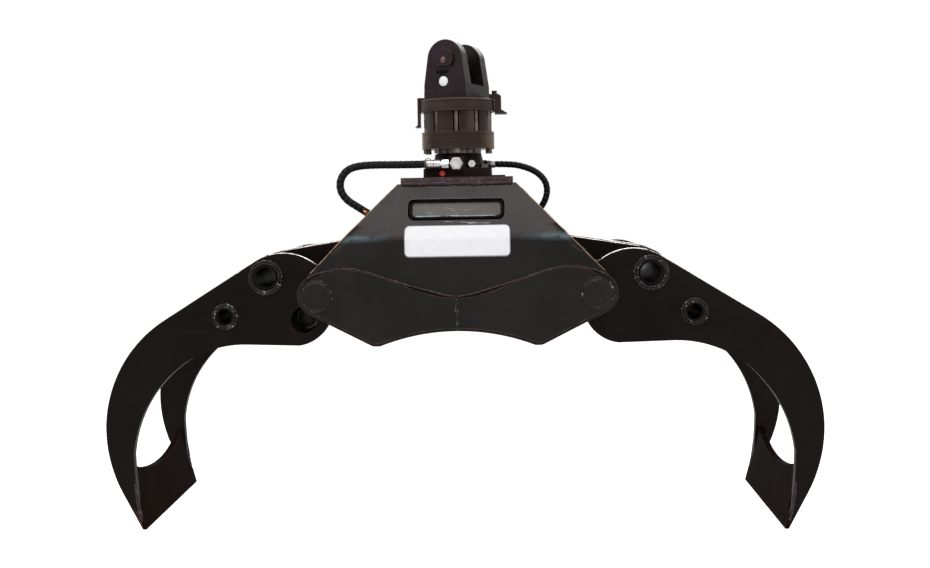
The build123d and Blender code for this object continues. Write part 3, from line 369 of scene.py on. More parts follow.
# The bend is shaded as rounded and carries a painted blue highlight.
frame_paint = painted(
    "frame_paint", (0.0034, 0.0028, 0.0031), (0.0070, 0.0054, 0.0060), PALE_COPPER, 0.36, 0.85,
    specular=0.1736, sheen=(1.0, 0.91, 0.87), edge_width=0.0036, bend=BEND_Z,
)
head_paint = painted(
    "head_paint", (0.016, 0.0095, 0.0115), (0.038, 0.023, 0.028), (0.17, 0.12, 0.125), 0.42, 0.9,
    specular=0.2356, sheen=(1.0, 0.70, 0.78), dust_and_top_highlight=0.5, spots_and_glints=(0.085, 0.060, 0.068),
)
window_paint = painted(
    "window_paint", (0.062, 0.056, 0.050), (0.088, 0.080, 0.072), (0.10, 0.09, 0.08), 0.5, 0.4,
    specular=0.186, sheen=(1, 0.97, 0.93),
)
cap_paint = painted(
    "cap_paint", (0.0062, 0.0052, 0.0056), (0.0120, 0.0096, 0.0100), PALE_COPPER, 0.36, 0.7, specular=0.1364,
    sheen=(1.0, 0.93, 0.93), spots_and_glints=(0.060, 0.038, 0.022), spots_and_glints_from=0.60,
)
# A darker, duller copy of the arm paint for the tubes: painted shade, so that their bores look dark inside.
tube_shade_paint = painted(
    "tube_shade_paint", (0.0024, 0.0020, 0.0018), (0.0055, 0.0044, 0.0040), COPPER, 0.5, 0.5, specular=0.0434,
)
shadow_paint = painted(
    "shadow_paint", (0.0012, 0.0010, 0.0011), (0.0040, 0.0032, 0.0035), COPPER, 0.5, 0, specular=0.062,
)
blade_paint = painted(
    "blade_paint", (0.0050, 0.0026, 0.0018), (0.0092, 0.0050, 0.0036), COPPER, 0.55, 0.5, specular=0.00372,
    sheen=BROWN_SHEEN,
)
ring_paint = painted(
    "ring_paint", (0.0135, 0.0088, 0.0077), (0.030, 0.0190, 0.0165), RING_EDGE, 0.42, 0.95, specular=0.1612,
    sheen=BROWN_SHEEN, dust_and_top_highlight=0.35, turned=True,
)
lower_ring_paint = painted(
    "lower_ring_paint", (0.0085, 0.0056, 0.0052), (0.021, 0.0140, 0.0125), RING_EDGE, 0.42, 0.95,
    specular=0.1364, sheen=BROWN_SHEEN, dust_and_top_highlight=0.35, flanks=(0.10, 0.066, 0.043), turned=True,
)
barrel_paint = painted(
    "barrel_paint", (0.0060, 0.0038, 0.0035), (0.0150, 0.0097, 0.0086), (0.18, 0.115, 0.075), 0.26, 0.9,
    specular=0.1984, sheen=BROWN_SHEEN, cast=True,
)
# Upward faces lightened strongly here: dust, and a painted highlight on the dome's top.
link_paint = painted(
    "link_paint", (0.0048, 0.0031, 0.0033), (0.0125, 0.0082, 0.0087), (0.16, 0.105, 0.105), 0.34, 0.8,
    specular=0.1116, sheen=VIOLET_SHEEN, dust_and_top_highlight=1.0, cast=True,
)
# Darker than the rings: the neck's paint darkened as painted shade under the lower ring.
neck_shade_paint = painted(
    "neck_shade_paint", (0.0034, 0.0023, 0.0020), (0.0095, 0.0064, 0.0052), (0.16, 0.11, 0.07), 0.48, 0.85,
    specular=0.0682, sheen=BROWN_SHEEN, dust_and_top_highlight=0.4, cast=True,
)
cylinder_paint = painted(
    "cylinder_paint", (0.006, 0.0050, 0.0052), (0.011, 0.0087, 0.0090), (0.10, 0.08, 0.07), 0.36, 0.5,
    specular=0.1364,
)
# The sparse bright spots on this paint are painted glints.
weld_paint = painted(
    "weld_paint", (0.0040, 0.0032, 0.0034), (0.0095, 0.0076, 0.0080), (0.26, 0.22, 0.24), 0.2, 0.12,
    specular=0.186, sheen=(1.0, 0.95, 0.98), spots_and_glints=(0.62, 0.58, 0.58), spots_and_glints_from=0.575, spots_and_glints_scale=85,
    cast=True,
)
dull_weld = painted(
    "dull_weld", (0.0085, 0.0058, 0.0068), (0.021, 0.0145, 0.017), (0.12, 0.09, 0.10), 0.32, 0.35,
    specular=0.217, sheen=VIOLET_SHEEN, spots_and_glints=(0.085, 0.064, 0.076), spots_and_glints_from=0.54,
)
dark_metal = metal("dark_metal", (0.12, 0.105, 0.10), (0.05, 0.043, 0.04), 0.38, stain=0.6)
zinc = metal("zinc", (0.62, 0.61, 0.59), (0.40, 0.39, 0.37), 0.28, stain=0.35)
grey_zinc = metal("grey_zinc", (0.36, 0.35, 0.34), (0.17, 0.16, 0.155), 0.3, stain=0.6)
bolt_steel = metal("bolt_steel", (0.105, 0.084, 0.072), (0.045, 0.036, 0.031), 0.34, stain=0.6)
chrome = metal("chrome", (0.80, 0.80, 0.82), (0.72, 0.72, 0.74), 0.08, brushed=True, stain=0.1)
rubber = moulded(
    "hose_rubber", (0.0015, 0.0013, 0.0013), (0.003, 0.0026, 0.0026), 0.6, 900, 0.0001, specular=0.1,
)
guard_plastic = moulded(
    "guard_plastic", (0.0050, 0.0042, 0.0040), (0.0100, 0.0083, 0.0080), 0.42, 600, 0.00005, specular=0.08,
)
red_plastic = moulded("red_plastic", (0.62, 0.035, 0.02), (0.48, 0.025, 0.015), 0.32, 700, 0.00004)
dull_red = moulded("dull_red", (0.16, 0.022, 0.018), (0.10, 0.016, 0.013), 0.5, 700, 0.00004)
WHITE, OFF_WHITE = (0.70, 0.70, 0.715), (0.66, 0.66, 0.675)
white_sheet = moulded("white_sheet", WHITE, OFF_WHITE, 0.4, 260, 0.00004, specular=0.15)
label_sheet = moulded("label_sheet", WHITE, OFF_WHITE, 0.45, 260, 0.00004, specular=0.12)
soften_bend(label_sheet, (0, -2.5, 0.75))
tan_sheet = moulded("tan_sheet", (0.42, 0.33, 0.20), (0.33, 0.25, 0.15), 0.45, 300, 0.00005)
orange_sheet = moulded("orange_sheet", (0.70, 0.22, 0.05), (0.60, 0.19, 0.05), 0.4, 300, 0.00005)
grey_edge = moulded("grey_edge", (0.20, 0.20, 0.205), (0.15, 0.15, 0.155), 0.35, 300, 0.00004)
# Pale metal for the painted highlights along the arms' upper edges.
bright_highlight = metal("bright_highlight", (0.62, 0.585, 0.56), (0.42, 0.38, 0.35), 0.34, stain=0.35)
copper_edge = metal("copper_edge", (0.26, 0.155, 0.10), (0.10, 0.06, 0.04), 0.42, stain=0.5, metallic=0.7)
scuff = moulded("scuff", (0.26, 0.24, 0.23), (0.12, 0.108, 0.105), 0.45, 300, 0.0001)
blue_steel = metal("blue_steel", (0.20, 0.24, 0.28), (0.11, 0.13, 0.16), 0.33, stain=0.4)

# Which nodes have which finish; blades, tubes, pins and the arms' other pieces follow from their names
FINISH_NODES = (
    (frame_paint, (
        "frame_front_plate", "frame_rear_plate", "front_cheeks", "rear_cheeks", "frame_rib_left",
        "frame_rib_right",
    )),
    (window_paint, ("window_backs",)),
    (head_paint, ("head_plate",)),
    (cap_paint, ("pivot_caps", "pivot_pin_left", "pivot_pin_right")),
    (neck_shade_paint, ("rotator_flange", "banjo", "side_tab")),
    (lower_ring_paint, ("lower_ring",)),
    (ring_paint, ("upper_ring", "ring_bracket", "ring_lug")),
    (barrel_paint, ("rotator_barrel",)),
    (link_paint, ("crane_link", "link_pin")),
    (cylinder_paint, ("cylinder_barrel", "tie_rod")),
    (bolt_steel, ("tie_bolts", "flange_bolts", "cylinder_gland")),
    (dark_metal, ("rotator_shaft", "rotor", "piston")),
    (chrome, ("piston_rod",)),
    (zinc, ("banjo_bolt", "left_hose_end", "right_hose_end", "side_fitting", "hose_bulkheads")),
    (red_plastic, ("port_plug",)),
    (rubber, ("left_hose", "right_hose")),
)
FINISH_ENDS = (("_tube", tube_shade_paint), ("_blade", blade_paint), ("_pin", bolt_steel), ("", arm_paint))
NODE_FINISH = {node_name: finish for finish, names in FINISH_NODES for node_name in names}
for node_name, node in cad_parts.items():
    by_name = next(finish for ending, finish in FINISH_ENDS if node_name.endswith(ending))
    finish = NODE_FINISH.get(node_name, by_name)
    if not node.material_slots:
        node.data.materials.append(finish)
    for material_slot in node.material_slots:
        material_slot.material = finish


# ---- Mesh helpers

X, Z = Vector((1, 0, 0)), Vector((0, 0, 1))
SIDES = ((-1, "left"), (1, "right"))
ENDS = ((-1, "front"), (1, "rear"))


def mesh_object(name, verts, faces, material, body):
    """A smooth-shaded piece that rides on a body."""
    mesh = bpy.data.meshes.new(name)
    mesh.from_pydata([tuple(v) for v in verts], [], faces)
    mesh.validate()
    for polygon in mesh.polygons:
        polygon.use_smooth = True
    mesh.materials.append(material)
    obj = bpy.data.objects.new(name, mesh)
    scene.collection.objects.link(obj)
    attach(obj, body)
    return obj


def resample(points, step, closed):
    """Points along a polyline, evenly spaced."""
    line = [Vector(p) for p in points]
    if closed:
        line.append(line[0].copy())
    lengths = [0.0]
    for a, b in zip(line, line[1:]):
        lengths.append(lengths[-1] + (b - a).length)
    count = max(2, round(lengths[-1] / step))
    result = []
    k = 0
    for i in range(count + (0 if closed else 1)):
        target = lengths[-1] * i / count
        while k < len(line) - 2 and lengths[k + 1] < target:
            k += 1
        span = lengths[k + 1] - lengths[k]
        result.append(line[k].lerp(line[k + 1], (target - lengths[k]) / span if span else 0))
    return result


def frames_along(points, closed):
    """A tangent and two normals at every point, turning as little as they can."""
    count = len(points)
    tangents = []
    for i in range(count):
        before = points[i - 1] if closed or i else points[i]
        after = points[(i + 1) % count] if closed or i < count - 1 else points[i]
        tangents.append((after - before).normalized())
    side = tangents[0].orthogonal().normalized()
    result = []
    for tangent in tangents:
        side = (side - tangent * side.dot(tangent)).normalized()
        result.append((tangent, side, tangent.cross(side)))
    return result


def bead(
    name, points, radius, body, closed=False, seed=0.0, pitch=0.0034, material=weld_paint,
    lumps=0.16,
):
    """A weld bead along a line: a low rope of overlapping drops, uneven in width, with tapered ends."""
    line = resample(points, pitch / 3, closed)
    verts = []
    count = len(line)
    sides = 8
    for i, (point, (tangent, a, b)) in enumerate(zip(line, frames_along(line, closed))):
        phase = (i / 3) % 1
        drop = 1 + 0.11 * (1 - phase) - 0.05
        uneven = 1 + lumps * noise.noise(Vector((i * 0.045 + seed, seed * 3.1, 0.3)))
        uneven += lumps * 0.8 * noise.noise(Vector((i * 0.23 + seed, seed * 1.7, 4.1)))
        shift = radius * 0.22 * noise.noise(Vector((i * 0.03 + seed, 7.7, seed)))
        taper = 1.0
        if not closed:
            taper = min(1.0, 0.45 + min(i, count - 1 - i) * 0.14)
        size = radius * drop * uneven * taper
        for k in range(sides):
            angle = 2 * pi * k / sides
            lean = 0.35 * radius * cos(angle) * (phase - 0.5)
            verts.append(point + (a * cos(angle) + b * sin(angle)) * size + (a + b) * shift + tangent * lean)
    faces = []
    loops = count if closed else count - 1
    for i in range(loops):
        j = (i + 1) % count
        for k in range(sides):
            m = (k + 1) % sides
            faces.append((i * sides + k, j * sides + k, j * sides + m, i * sides + m))
    if not closed:
        faces.append(tuple(range(sides)))
        faces.append(tuple(range((count - 1) * sides, count * sides))[::-1])
    return mesh_object(name, verts, faces, material, body)


def ring_points(centre, radius, count=64):
    """Places round an upright circle that faces along Y."""
    return [
        Vector(centre) + (X * cos(2 * pi * i / count) + Z * sin(2 * pi * i / count)) * radius
        for i in range(count)
    ]


def lathe(name, profile, centre, axis, material, body, count=40):
    """A turned piece: profile points are (radius, distance along the axis)."""
    axis = Vector(axis).normalized()
    u = axis.orthogonal().normalized()
    v = axis.cross(u)
    centre = Vector(centre)
    verts, faces = [], []
    for radius, along in profile:
        for k in range(count):
            angle = 2 * pi * k / count
            verts.append(centre + axis * along + (u * cos(angle) + v * sin(angle)) * radius)
    for i in range(len(profile) - 1):
        for k in range(count):
            m = (k + 1) % count
            faces.append((i * count + k, i * count + m, (i + 1) * count + m, (i + 1) * count + k))
    if profile[0][0] > 1e-6:
        faces.append(tuple(range(count))[::-1])
    if profile[-1][0] > 1e-6:
        faces.append(tuple(range((len(profile) - 1) * count, len(profile) * count)))
    return mesh_object(name, verts, faces, material, body)


# ---- Hoses

def hose_curve(name, route, diameter):
    """A smooth round hose along its route."""
    curve = bpy.data.curves.new(name, "CURVE")
    curve.dimensions = "3D"
    spline = curve.splines.new("NURBS")
    spline.points.add(len(route) - 1)
    for point, place in zip(spline.points, route):
        point.co = (*place, 1)
    spline.order_u = 3
    spline.use_endpoint_u = True
    spline.resolution_u = 12
    curve.bevel_depth = diameter / 2
    curve.bevel_resolution = 7
    curve.use_fill_caps = True
    curve.materials.append(rubber)
    obj = bpy.data.objects.new(name, curve)
    scene.collection.objects.link(obj)
    return obj


def hose_line(route):
    """The points of the route's own smooth line."""
    bare = hose_curve("line", route, 0)
    bpy.context.view_layer.update()
    mesh = bpy.data.meshes.new_from_object(bare)
    points = [v.co.copy() for v in mesh.vertices]
    bpy.data.objects.remove(bare)
    bpy.data.meshes.remove(mesh)
    return points


GUARD_THICKNESS = 0.0006
GUARD_TUCK = -0.0004
GUARD_STEPS = 18
GUARD_FROM_FITTING = 0.006
GUARD_FROM_BULKHEAD = 0.03


def wound_guard(name, route, inner, width, pitch):
    """A spiral guard: a flat plastic strip wound round a hose."""
    step = pitch / GUARD_STEPS
    points = resample(hose_line(route), step, False)
    first, last = round(GUARD_FROM_FITTING / step), len(points) - round(GUARD_FROM_BULKHEAD / step)
    verts = []
    profile = (
        (-0.5, GUARD_TUCK), (-0.46, GUARD_THICKNESS), (0, GUARD_THICKNESS * 1.05), (0.46, GUARD_THICKNESS),
        (0.5, GUARD_TUCK),
    )
    steps = list(zip(points, frames_along(points, False)))[first:last]
    for i, (point, (tangent, a, b)) in enumerate(steps):
        angle = 2 * pi * i / GUARD_STEPS
        out = a * cos(angle) + b * sin(angle)
        for along, height in profile:
            verts.append(point + tangent * along * width + out * (inner + height))
    faces = []
    n = len(profile)
    for i in range(len(steps) - 1):
        for k in range(n - 1):
            faces.append((i * n + k, (i + 1) * n + k, (i + 1) * n + k + 1, i * n + k + 1))
    return mesh_object(name, verts, faces, guard_plastic, "frame")


def collar(name, centre, axis, radius, length, ridges=4):
    """A crimped ferrule sleeve with its ridges and rolled ends."""
    profile = [(radius * 0.82, 0), (radius, length * 0.04)]
    for i in range(ridges):
        start = length * (0.1 + 0.8 * i / ridges)
        end = length * (0.1 + 0.8 * (i + 0.62) / ridges)
        groove = radius * 0.93
        profile += [(radius, start), (groove, start + 0.0008), (groove, end), (radius, end + 0.0008)]
    profile += [(radius, length * 0.96), (radius * 0.85, length)]
    return lathe(name, profile, centre, axis, grey_zinc, "frame")


left_hose = hose_curve("left_hose_soft", LEFT_ROUTE, 0.019)
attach(left_hose, "frame")
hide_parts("left_hose")
left_guard = wound_guard("left_hose_guard", LEFT_ROUTE, 0.0095, 0.0116, 0.0138)
left_sleeve = collar("left_hose_sleeve", LEFT_FITTING, (-1, 0, 0), 0.0117, 0.0355)

right_hose = hose_curve("right_hose_soft", RIGHT_ROUTE, 0.0165)
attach(right_hose, "frame")
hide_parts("right_hose")
right_guard = wound_guard("right_hose_guard", RIGHT_ROUTE, 0.00825, 0.0106, 0.0126)
right_sleeve = collar("right_hose_sleeve", RIGHT_FITTING, (1, 0, 0), 0.0102, 0.0122, ridges=2)


# ---- Welds

TUBE_WELDS = ((BIG_TUBE, 0.0408, 0.0036, "big"), (SMALL_TUBE, 0.0308, 0.0032, "small"))
TOE_WELD = ((0.4765, -0.470), (0.4735, -0.495), (0.4695, -0.520), (0.4640, -0.545), (0.4585, -0.566))
TOE_WELD_Y = 0.1985
EAR_FACES = (-0.0445, -0.0275, 0.0275, 0.0445)
EAR_WELDS = ((BIG_TUBE, 0.036, "tube"), ((0, 0), 0.035, "hub"))


def on_arm(side, place, y):
    """A place on an arm, given outward from and above its pivot."""
    return Vector((side * (PIVOT[0] + place[0]), y, PIVOT[1] + place[1]))


for side, arm in SIDES:
    body = f"{arm}_arm"
    for face, end in ENDS:
        y = face * ARM_FACE
        for place, radius, size, tube in TUBE_WELDS:
            bead(
                f"{arm}_{end}_{tube}_weld", ring_points(on_arm(side, place, y + face * 0.0006), radius), size,
                body, True, seed=radius * 90 + side, pitch=0.0042, lumps=0.42,
            )
            bead(
                f"{arm}_{end}_{tube}_inner_weld",
                ring_points(on_arm(side, place, y + face * 0.0045), radius - 0.0056), size * 0.62, body, True,
                seed=radius * 50 + side + face,
            )
    for face, end in ENDS:
        bead(
            f"{arm}_{end}_toe_weld", [on_arm(side, place, face * TOE_WELD_Y) for place in TOE_WELD], 0.0040,
            body, seed=side + 2 * face, material=dull_weld, lumps=0.25,
        )
    for y in EAR_FACES:
        for place, radius, tube in EAR_WELDS:
            bead(
                f"{arm}_ear_{tube}_weld_{round(y * 10000)}".replace("-", "m"),
                ring_points(on_arm(side, place, y), radius), 0.0032, body, True, seed=y * 40 + radius * 70,
            )


def hit_plate(tree, x, z):
    """Where a level ray from the front meets a surface, and the way that surface faces."""
    return tree.ray_cast(Vector((x, -1, z)), Vector((0, 1, 0)))[:2]


def surface_of(*names):
    """The surface of some CAD nodes, for rays to meet."""
    verts, polygons = [], []
    for node_name in names:
        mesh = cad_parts[node_name].data
        start = len(verts)
        verts += [v.co.copy() for v in mesh.vertices]
        polygons += [[start + k for k in p.vertices] for p in mesh.polygons]
    return BVHTree.FromPolygons(verts, polygons)


front_tree = surface_of("frame_front_plate")

# The welds along the tops of the cheeks, at the cheeks' seam, under the head plate and round the pins' caps
HEAD_WELD_Z = 0.8612
CHEEK_TOP = [
    (0.376, 0.628), (0.350, 0.640), (0.302, 0.6515), (0.278, 0.6525), (0.255, 0.6505), (0.210, 0.639),
    (0.168, 0.6245), (0.120, 0.609), (0.070, 0.595), (0.030, 0.584), (0.001, 0.5795),
]
for side, arm in SIDES:
    for face, end in ENDS:
        y = face * (FRAME_FACE + 0.0015)
        bead(
            f"{arm}_{end}_cheek_weld", [(side * x, y, z) for x, z in CHEEK_TOP], 0.0033, "frame",
            seed=side + 3 * face, material=dull_weld, lumps=0.4,
        )
for face, end in ENDS:
    y = face * (CHEEK_FACE - 0.001)
    bead(f"{end}_seam_weld", [(0, y, 0.5775), (0, y, 0.4975)], 0.0032, "frame", seed=5.5 * face, lumps=0.5)
    y = face * (HEAD_FACE + 0.0012)
    bead(
        f"{end}_head_weld", [(x, y, HEAD_WELD_Z) for x in (-0.144, -0.05, 0.05, 0.144)], 0.0058, "frame",
        seed=9 + face, material=dull_weld, lumps=0.5,
    )
    for side, pin in SIDES:
        rim = ring_points((side * PIVOT[0], face * (CHEEK_FACE + 0.0006), PIVOT[1]), 0.0372)
        bead(f"{pin}_{end}_cap_weld", rim, 0.0032, "frame", True, seed=side * 2 + face)


# ---- The window's border of painted shadow, a dark bead all round it, and its lower bead, front and rear
WINDOW_HALF, WINDOW_LOW, WINDOW_HIGH, WINDOW_CORNER = 0.123, 0.769, 0.8225, 0.014
WINDOW_BEAD_Z = 0.7785


def window_round(inset):
    """Places round the window's edge, inside it by the inset."""
    half, low, high, radius = WINDOW_HALF - inset, WINDOW_LOW + inset, WINDOW_HIGH - inset, WINDOW_CORNER
    points = []
    for x, z, start in (
        (half - radius, high - radius, 0.0), (radius - half, high - radius, pi / 2),
        (radius - half, low + radius, pi), (half - radius, low + radius, 1.5 * pi),
    ):
        for i in range(7):
            angle = start + pi / 2 * i / 6
            points.append((x + radius * cos(angle), z + radius * sin(angle)))
    return points


back_tree = surface_of("window_backs")
for face, end in ENDS:
    ring = []
    for x, z in window_round(0.0050):
        place = back_tree.ray_cast(Vector((x, face, z)), Vector((0, -face, 0)))[0]
        ring.append(place + Vector((0, face * 0.0006, 0)))
    bead(
        f"{end}_window_shadow_border", ring, 0.0056, "frame", True, seed=2.2 + face, material=shadow_paint,
        lumps=0.12,
    )
    low_line = []
    for i in range(15):
        x = -0.105 + 0.21 * i / 14
        place = back_tree.ray_cast(Vector((x, face, WINDOW_BEAD_Z)), Vector((0, -face, 0)))[0]
        low_line.append(place + Vector((0, face * 0.0052, 0)))
    bead(f"{end}_window_bead", low_line, 0.0024, "frame", seed=6.1 + face, material=blue_steel, lumps=0.4)


# ---- Worn copper-coloured edges down the sides of the frame plates
def side_edge(tree, side, z, face):
    """The outermost place of a plate at a height, seen level from the front or the rear."""
    x = 0.44
    while x > 0.1:
        place = tree.ray_cast(Vector((side * x, face, z)), Vector((0, -face, 0)))[0]
        if place:
            return place
        x -= 0.0015
    return None


for face, end in ENDS:
    plate_tree = surface_of(f"frame_{end}_plate")
    for side, arm in SIDES:
        edge = [side_edge(plate_tree, side, 0.640 + 0.0075 * i, face) for i in range(29)]
        bead(
            f"{arm}_{end}_frame_edge", [place for place in edge if place], 0.0014, "frame",
            seed=side * 4 + face, material=copper_edge, lumps=0.5,
        )

# Streaks of scuffed paint between the window and the label
for number, (x_from, x_to, z_from, z_to, width) in enumerate((
    (-0.030, 0.052, 0.7655, 0.7615, 0.0011), (0.010, 0.084, 0.7640, 0.7595, 0.0013),
    (0.030, 0.090, 0.7600, 0.7625, 0.0009),
)):
    streak = []
    for i in range(13):
        x = x_from + (x_to - x_from) * i / 12
        place, normal = hit_plate(front_tree, x, z_from + (z_to - z_from) * i / 12)
        streak.append(place - normal * 0.0004 if normal.y > 0 else place)
    bead(f"scuff_{number}", streak, width, "frame", seed=number * 3.7, material=scuff, lumps=0.8)


# ---- Painted highlights: thin bright lines along the upper edges of the arms' backs, where they lie against the frame
def highlight_strip(name, tree, side, span, y, width, body):
    """A thin painted highlight along the upper edge of a plate, found by rays from above."""
    x_from, x_to = (side * (PIVOT[0] + out) for out in span)
    points = []
    for i in range(25):
        x = x_from + (x_to - x_from) * i / 24
        place = tree.ray_cast(Vector((x, y, 1.5)), Vector((0, 0, -1)))[0]
        if place:
            points.append(place)
    bead(name, points, width, body, seed=x_from * 9, material=bright_highlight, lumps=0.35)


for side, arm in SIDES:
    body = f"{arm}_arm"
    for face, end in ENDS:
        plate_tree = surface_of(f"{arm}_{end}_plate")
        y = face * (ARM_FACE - 0.0014)
        highlight_strip(f"{arm}_{end}_bright_edge", plate_tree, side, (0.012, 0.128), y, 0.0015, body)
        y = face * (ARM_FACE - 0.0012)
        highlight_strip(f"{arm}_{end}_faint_highlight", plate_tree, side, (0.130, 0.235), y, 0.0012, body)
    ear_tree = surface_of(f"{arm}_ears")
    for y, end in ((-0.0430, "front"), (0.0430, "rear")):
        highlight_strip(f"{arm}_{end}_ear_bright_edge", ear_tree, side, (-0.085, 0.130), y, 0.0014, body)

# The tie pin's turned end, seen through the round hole in the left arm's front plate
lathe(
    "left_tie_pin_end",
    [(0.0001, 0.0420), (0.0235, 0.0420), (0.0262, 0.0395), (0.0268, 0.0), (0.0105, -0.0005)],
    (-0.387, -0.1165, 0.524), (0, -1, 0), cylinder_paint, "left_arm", 48,
)


# ---- Bare labels

def rounded_rectangle(x_low, x_high, z_low, z_high, radius, spacing):
    """Grid columns of a rounded rectangle, as (x, low z, high z)."""
    columns = []
    count = round((x_high - x_low) / spacing)
    for i in range(count + 1):
        t = i / count
        x = x_low + (x_high - x_low) * t
        near = min(x - x_low, x_high - x)
        cut = 0.0
        if near < radius:
            cut = radius - (radius**2 - (radius - near) ** 2) ** 0.5
        columns.append((x, z_low + cut, z_high - cut))
    return columns


def label(name, x_low, x_high, z_low, z_high, radius, lift, material):
    """A thin sheet stuck to the front plate, following its bend."""
    columns = rounded_rectangle(x_low, x_high, z_low, z_high, radius, 0.0015)
    rows = 24
    verts, faces = [], []
    for x, low, high in columns:
        for j in range(rows + 1):
            z = low + (high - low) * j / rows
            place, normal = hit_plate(front_tree, x, z)
            if normal.y > 0:
                normal = -normal
            verts.append(place + normal * lift)
    for i in range(len(columns) - 1):
        for j in range(rows):
            a = i * (rows + 1) + j
            b = (i + 1) * (rows + 1) + j
            faces.append((a, b, b + 1, a + 1))
    obj = mesh_object(name, verts, faces, material, "frame")
    thick = obj.modifiers.new("thickness", "SOLIDIFY")
    thick.thickness = lift * 0.9
    thick.offset = -1
    return obj


label("front_label_edge", -0.129, 0.136, 0.678, 0.757, 0.013, 0.0006, grey_edge)
label("front_label", -0.1270, 0.1340, 0.6800, 0.7550, 0.011, 0.0011, label_sheet)

# ---- Crane link details
pin_way = Vector((sin(LINK_TURN), cos(LINK_TURN), 0))
level_way = Vector((cos(LINK_TURN), -sin(LINK_TURN), 0))


def on_link(across, out, z):
    """A place on the link: across the pin, outward from the front ear's face, and up."""
    return level_way * across - pin_way * (LINK_FACE + out) + Z * z


lathe(
    "link_round_label", [(0.0001, 0.0011), (0.0118, 0.0011), (0.0129, 0.0007), (0.0131, -0.0004)],
    on_link(-0.004, 0.0, 1.133), -pin_way, white_sheet, "rotator", 48,
)
lathe(
    "link_pin_plug", [(0.0001, 0.0024), (0.0030, 0.0022), (0.0050, 0.0012), (0.0056, -0.0005)],
    on_link(0.0, 0.009, LINK_PIN_Z - 0.004), -pin_way, dull_red, "rotator", 32,
)
lathe(
    "link_pin_plug_ring", [(0.0056, 0.0002), (0.0064, 0.0010), (0.0080, 0.0008), (0.0084, -0.0005)],
    on_link(0.0, 0.009, LINK_PIN_Z - 0.004), -pin_way, bolt_steel, "rotator", 32,
)

for drop in (0.0010, 0.0055):
    bead(
        f"link_recess_shade_{round(drop * 10000)}",
        [on_link(across, -0.0020, LINK_PIN_Z - 0.034 - drop) for across in (-0.021, -0.007, 0.006)], 0.0032,
        "rotator", seed=drop * 800, material=shadow_paint, lumps=0.1,
    )

# Turned lips and seams on the rotator's rings
RING_TRIM = (
    ("upper_ring_lip", 1.0538, 0.1018, 0.0052, ring_paint),
    ("upper_ring_seam", 1.0590, 0.1007, 0.0016, shadow_paint),
    ("upper_ring_top_seam", 1.0790, 0.1007, 0.0012, shadow_paint),
    ("lower_ring_seam", 0.9900, 0.0982, 0.0012, shadow_paint),
    ("lower_ring_low_seam", 0.9700, 0.0982, 0.0010, shadow_paint),
)
for name, low, radius, height, finish in RING_TRIM:
    inner = radius - 0.0022
    lathe(
        name, [(inner, 0.0), (radius, height * 0.2), (radius, height * 0.8), (inner, height)], (0, 0, low),
        (0, 0, 1), finish, "rotator", 96,
    )

# The tan strap and the dark ring on the left hose's fitting, and the orange tag at the hose's other end
bead(
    "left_fitting_strap", [
        (-0.0830, -0.1015, 0.9235), (-0.0760, -0.0990, 0.9290), (-0.0690, -0.0985, 0.9265),
        (-0.0655, -0.1, 0.9215),
    ],
    0.0013, "frame", seed=3.3, material=tan_sheet, lumps=0.2,
)
bead(
    "left_hose_tag", [(-0.2440, -0.1142, 0.7950), (-0.2390, -0.1146, 0.7915), (-0.2340, -0.1142, 0.7882)],
    0.0034, "frame", seed=5.3, material=orange_sheet, lumps=0.2,
)
lathe(
    "left_fitting_ring", [(0.0112, -0.0016), (0.0132, -0.0010), (0.0132, 0.0010), (0.0112, 0.0016)],
    (-0.0808, -0.103, PORT_Z), (1, 0, 0), dark_metal, "frame", 36,
)

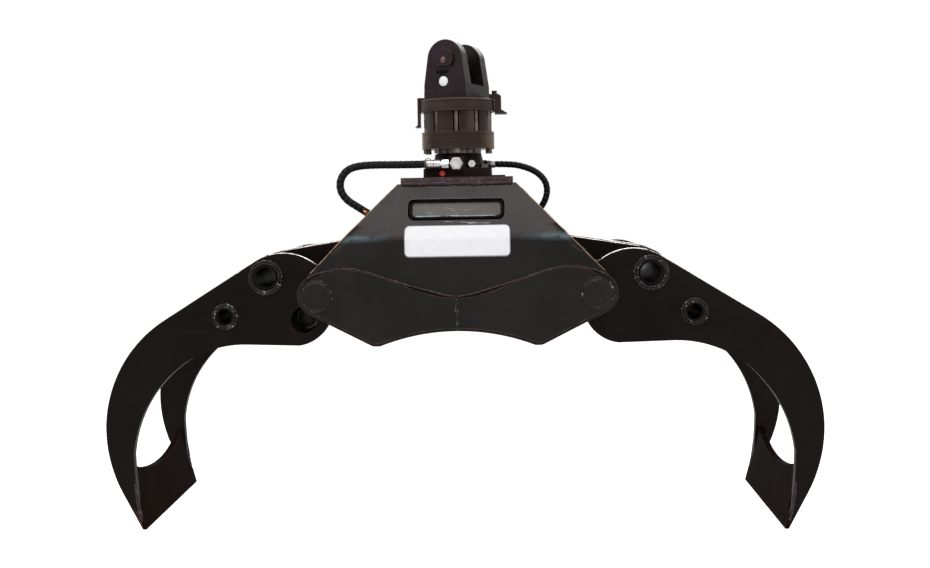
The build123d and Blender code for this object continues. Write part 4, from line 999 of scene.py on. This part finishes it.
# ---- Floor, light and background
floor_material, tree, shader = new_material("floor")
out = tree.nodes["Material Output"]
tree.nodes.remove(shader)
diffuse = tree.nodes.new("ShaderNodeBsdfDiffuse")
diffuse.inputs["Color"].default_value = (0.62, 0.62, 0.62, 1)
glow = tree.nodes.new("ShaderNodeEmission")
tree.links.new(math_node(tree, "MULTIPLY", background_rays(tree), FLOOR_GLOW), glow.inputs["Strength"])
both = tree.nodes.new("ShaderNodeAddShader")
tree.links.new(diffuse.outputs[0], both.inputs[0])
tree.links.new(glow.outputs[0], both.inputs[1])
tree.links.new(both.outputs[0], out.inputs["Surface"])
floor_mesh = bpy.data.meshes.new("floor")
floor_mesh.from_pydata([(-12, -8, 0), (12, -8, 0), (12, 16, 0), (-12, 16, 0)], [], [(0, 1, 2, 3)])
floor_mesh.materials.append(floor_material)
floor = bpy.data.objects.new("floor", floor_mesh)
floor.location.z = FLOOR_Z
scene.collection.objects.link(floor)

world = bpy.data.worlds.new("world")
scene.world = world
world.use_nodes = True
tree = world.node_tree
tree.nodes.clear()
out = tree.nodes.new("ShaderNodeOutputWorld")
plain = tree.nodes.new("ShaderNodeBackground")
plain.inputs["Color"].default_value = (1, 1, 1, 1)
plain.inputs["Strength"].default_value = WORLD_LIGHT
white = tree.nodes.new("ShaderNodeBackground")
white.inputs["Color"].default_value = (1, 1, 1, 1)
white.inputs["Strength"].default_value = 1.0
mixer = tree.nodes.new("ShaderNodeMixShader")
tree.links.new(background_rays(tree), mixer.inputs[0])
tree.links.new(plain.outputs[0], mixer.inputs[1])
tree.links.new(white.outputs[0], mixer.inputs[2])
tree.links.new(mixer.outputs[0], out.inputs["Surface"])


def lamp(name, place, aim, size, power):
    """A soft rectangular lamp."""
    data = bpy.data.lights.new(name, "AREA")
    data.shape = "RECTANGLE"
    data.size, data.size_y = size
    data.energy = power
    obj = bpy.data.objects.new(name, data)
    obj.location = place
    obj.rotation_euler = (Vector(aim) - Vector(place)).to_track_quat("-Z", "Y").to_euler()
    scene.collection.objects.link(obj)


lamp("key", (-2.6, -1.9, 2.6), (0, 0, 0.6), (1.6, 1.4), 46)
lamp("fill", (2.6, -2.2, 1.7), (0, 0, 0.6), (1.6, 1.6), 30)
lamp("top", (0, -1.35, 3.3), (0, -0.1, 0.8), (3.0, 1.3), 76)
lamp("back", (0.5, 3.2, 2.6), (0, 0, 0.6), (2.4, 1.6), 85)
lamp("back_low", (-1.0, 3.2, 1.2), (0, 0, 0.5), (1.6, 1.6), 30)

scene.view_settings.view_transform = "Standard"
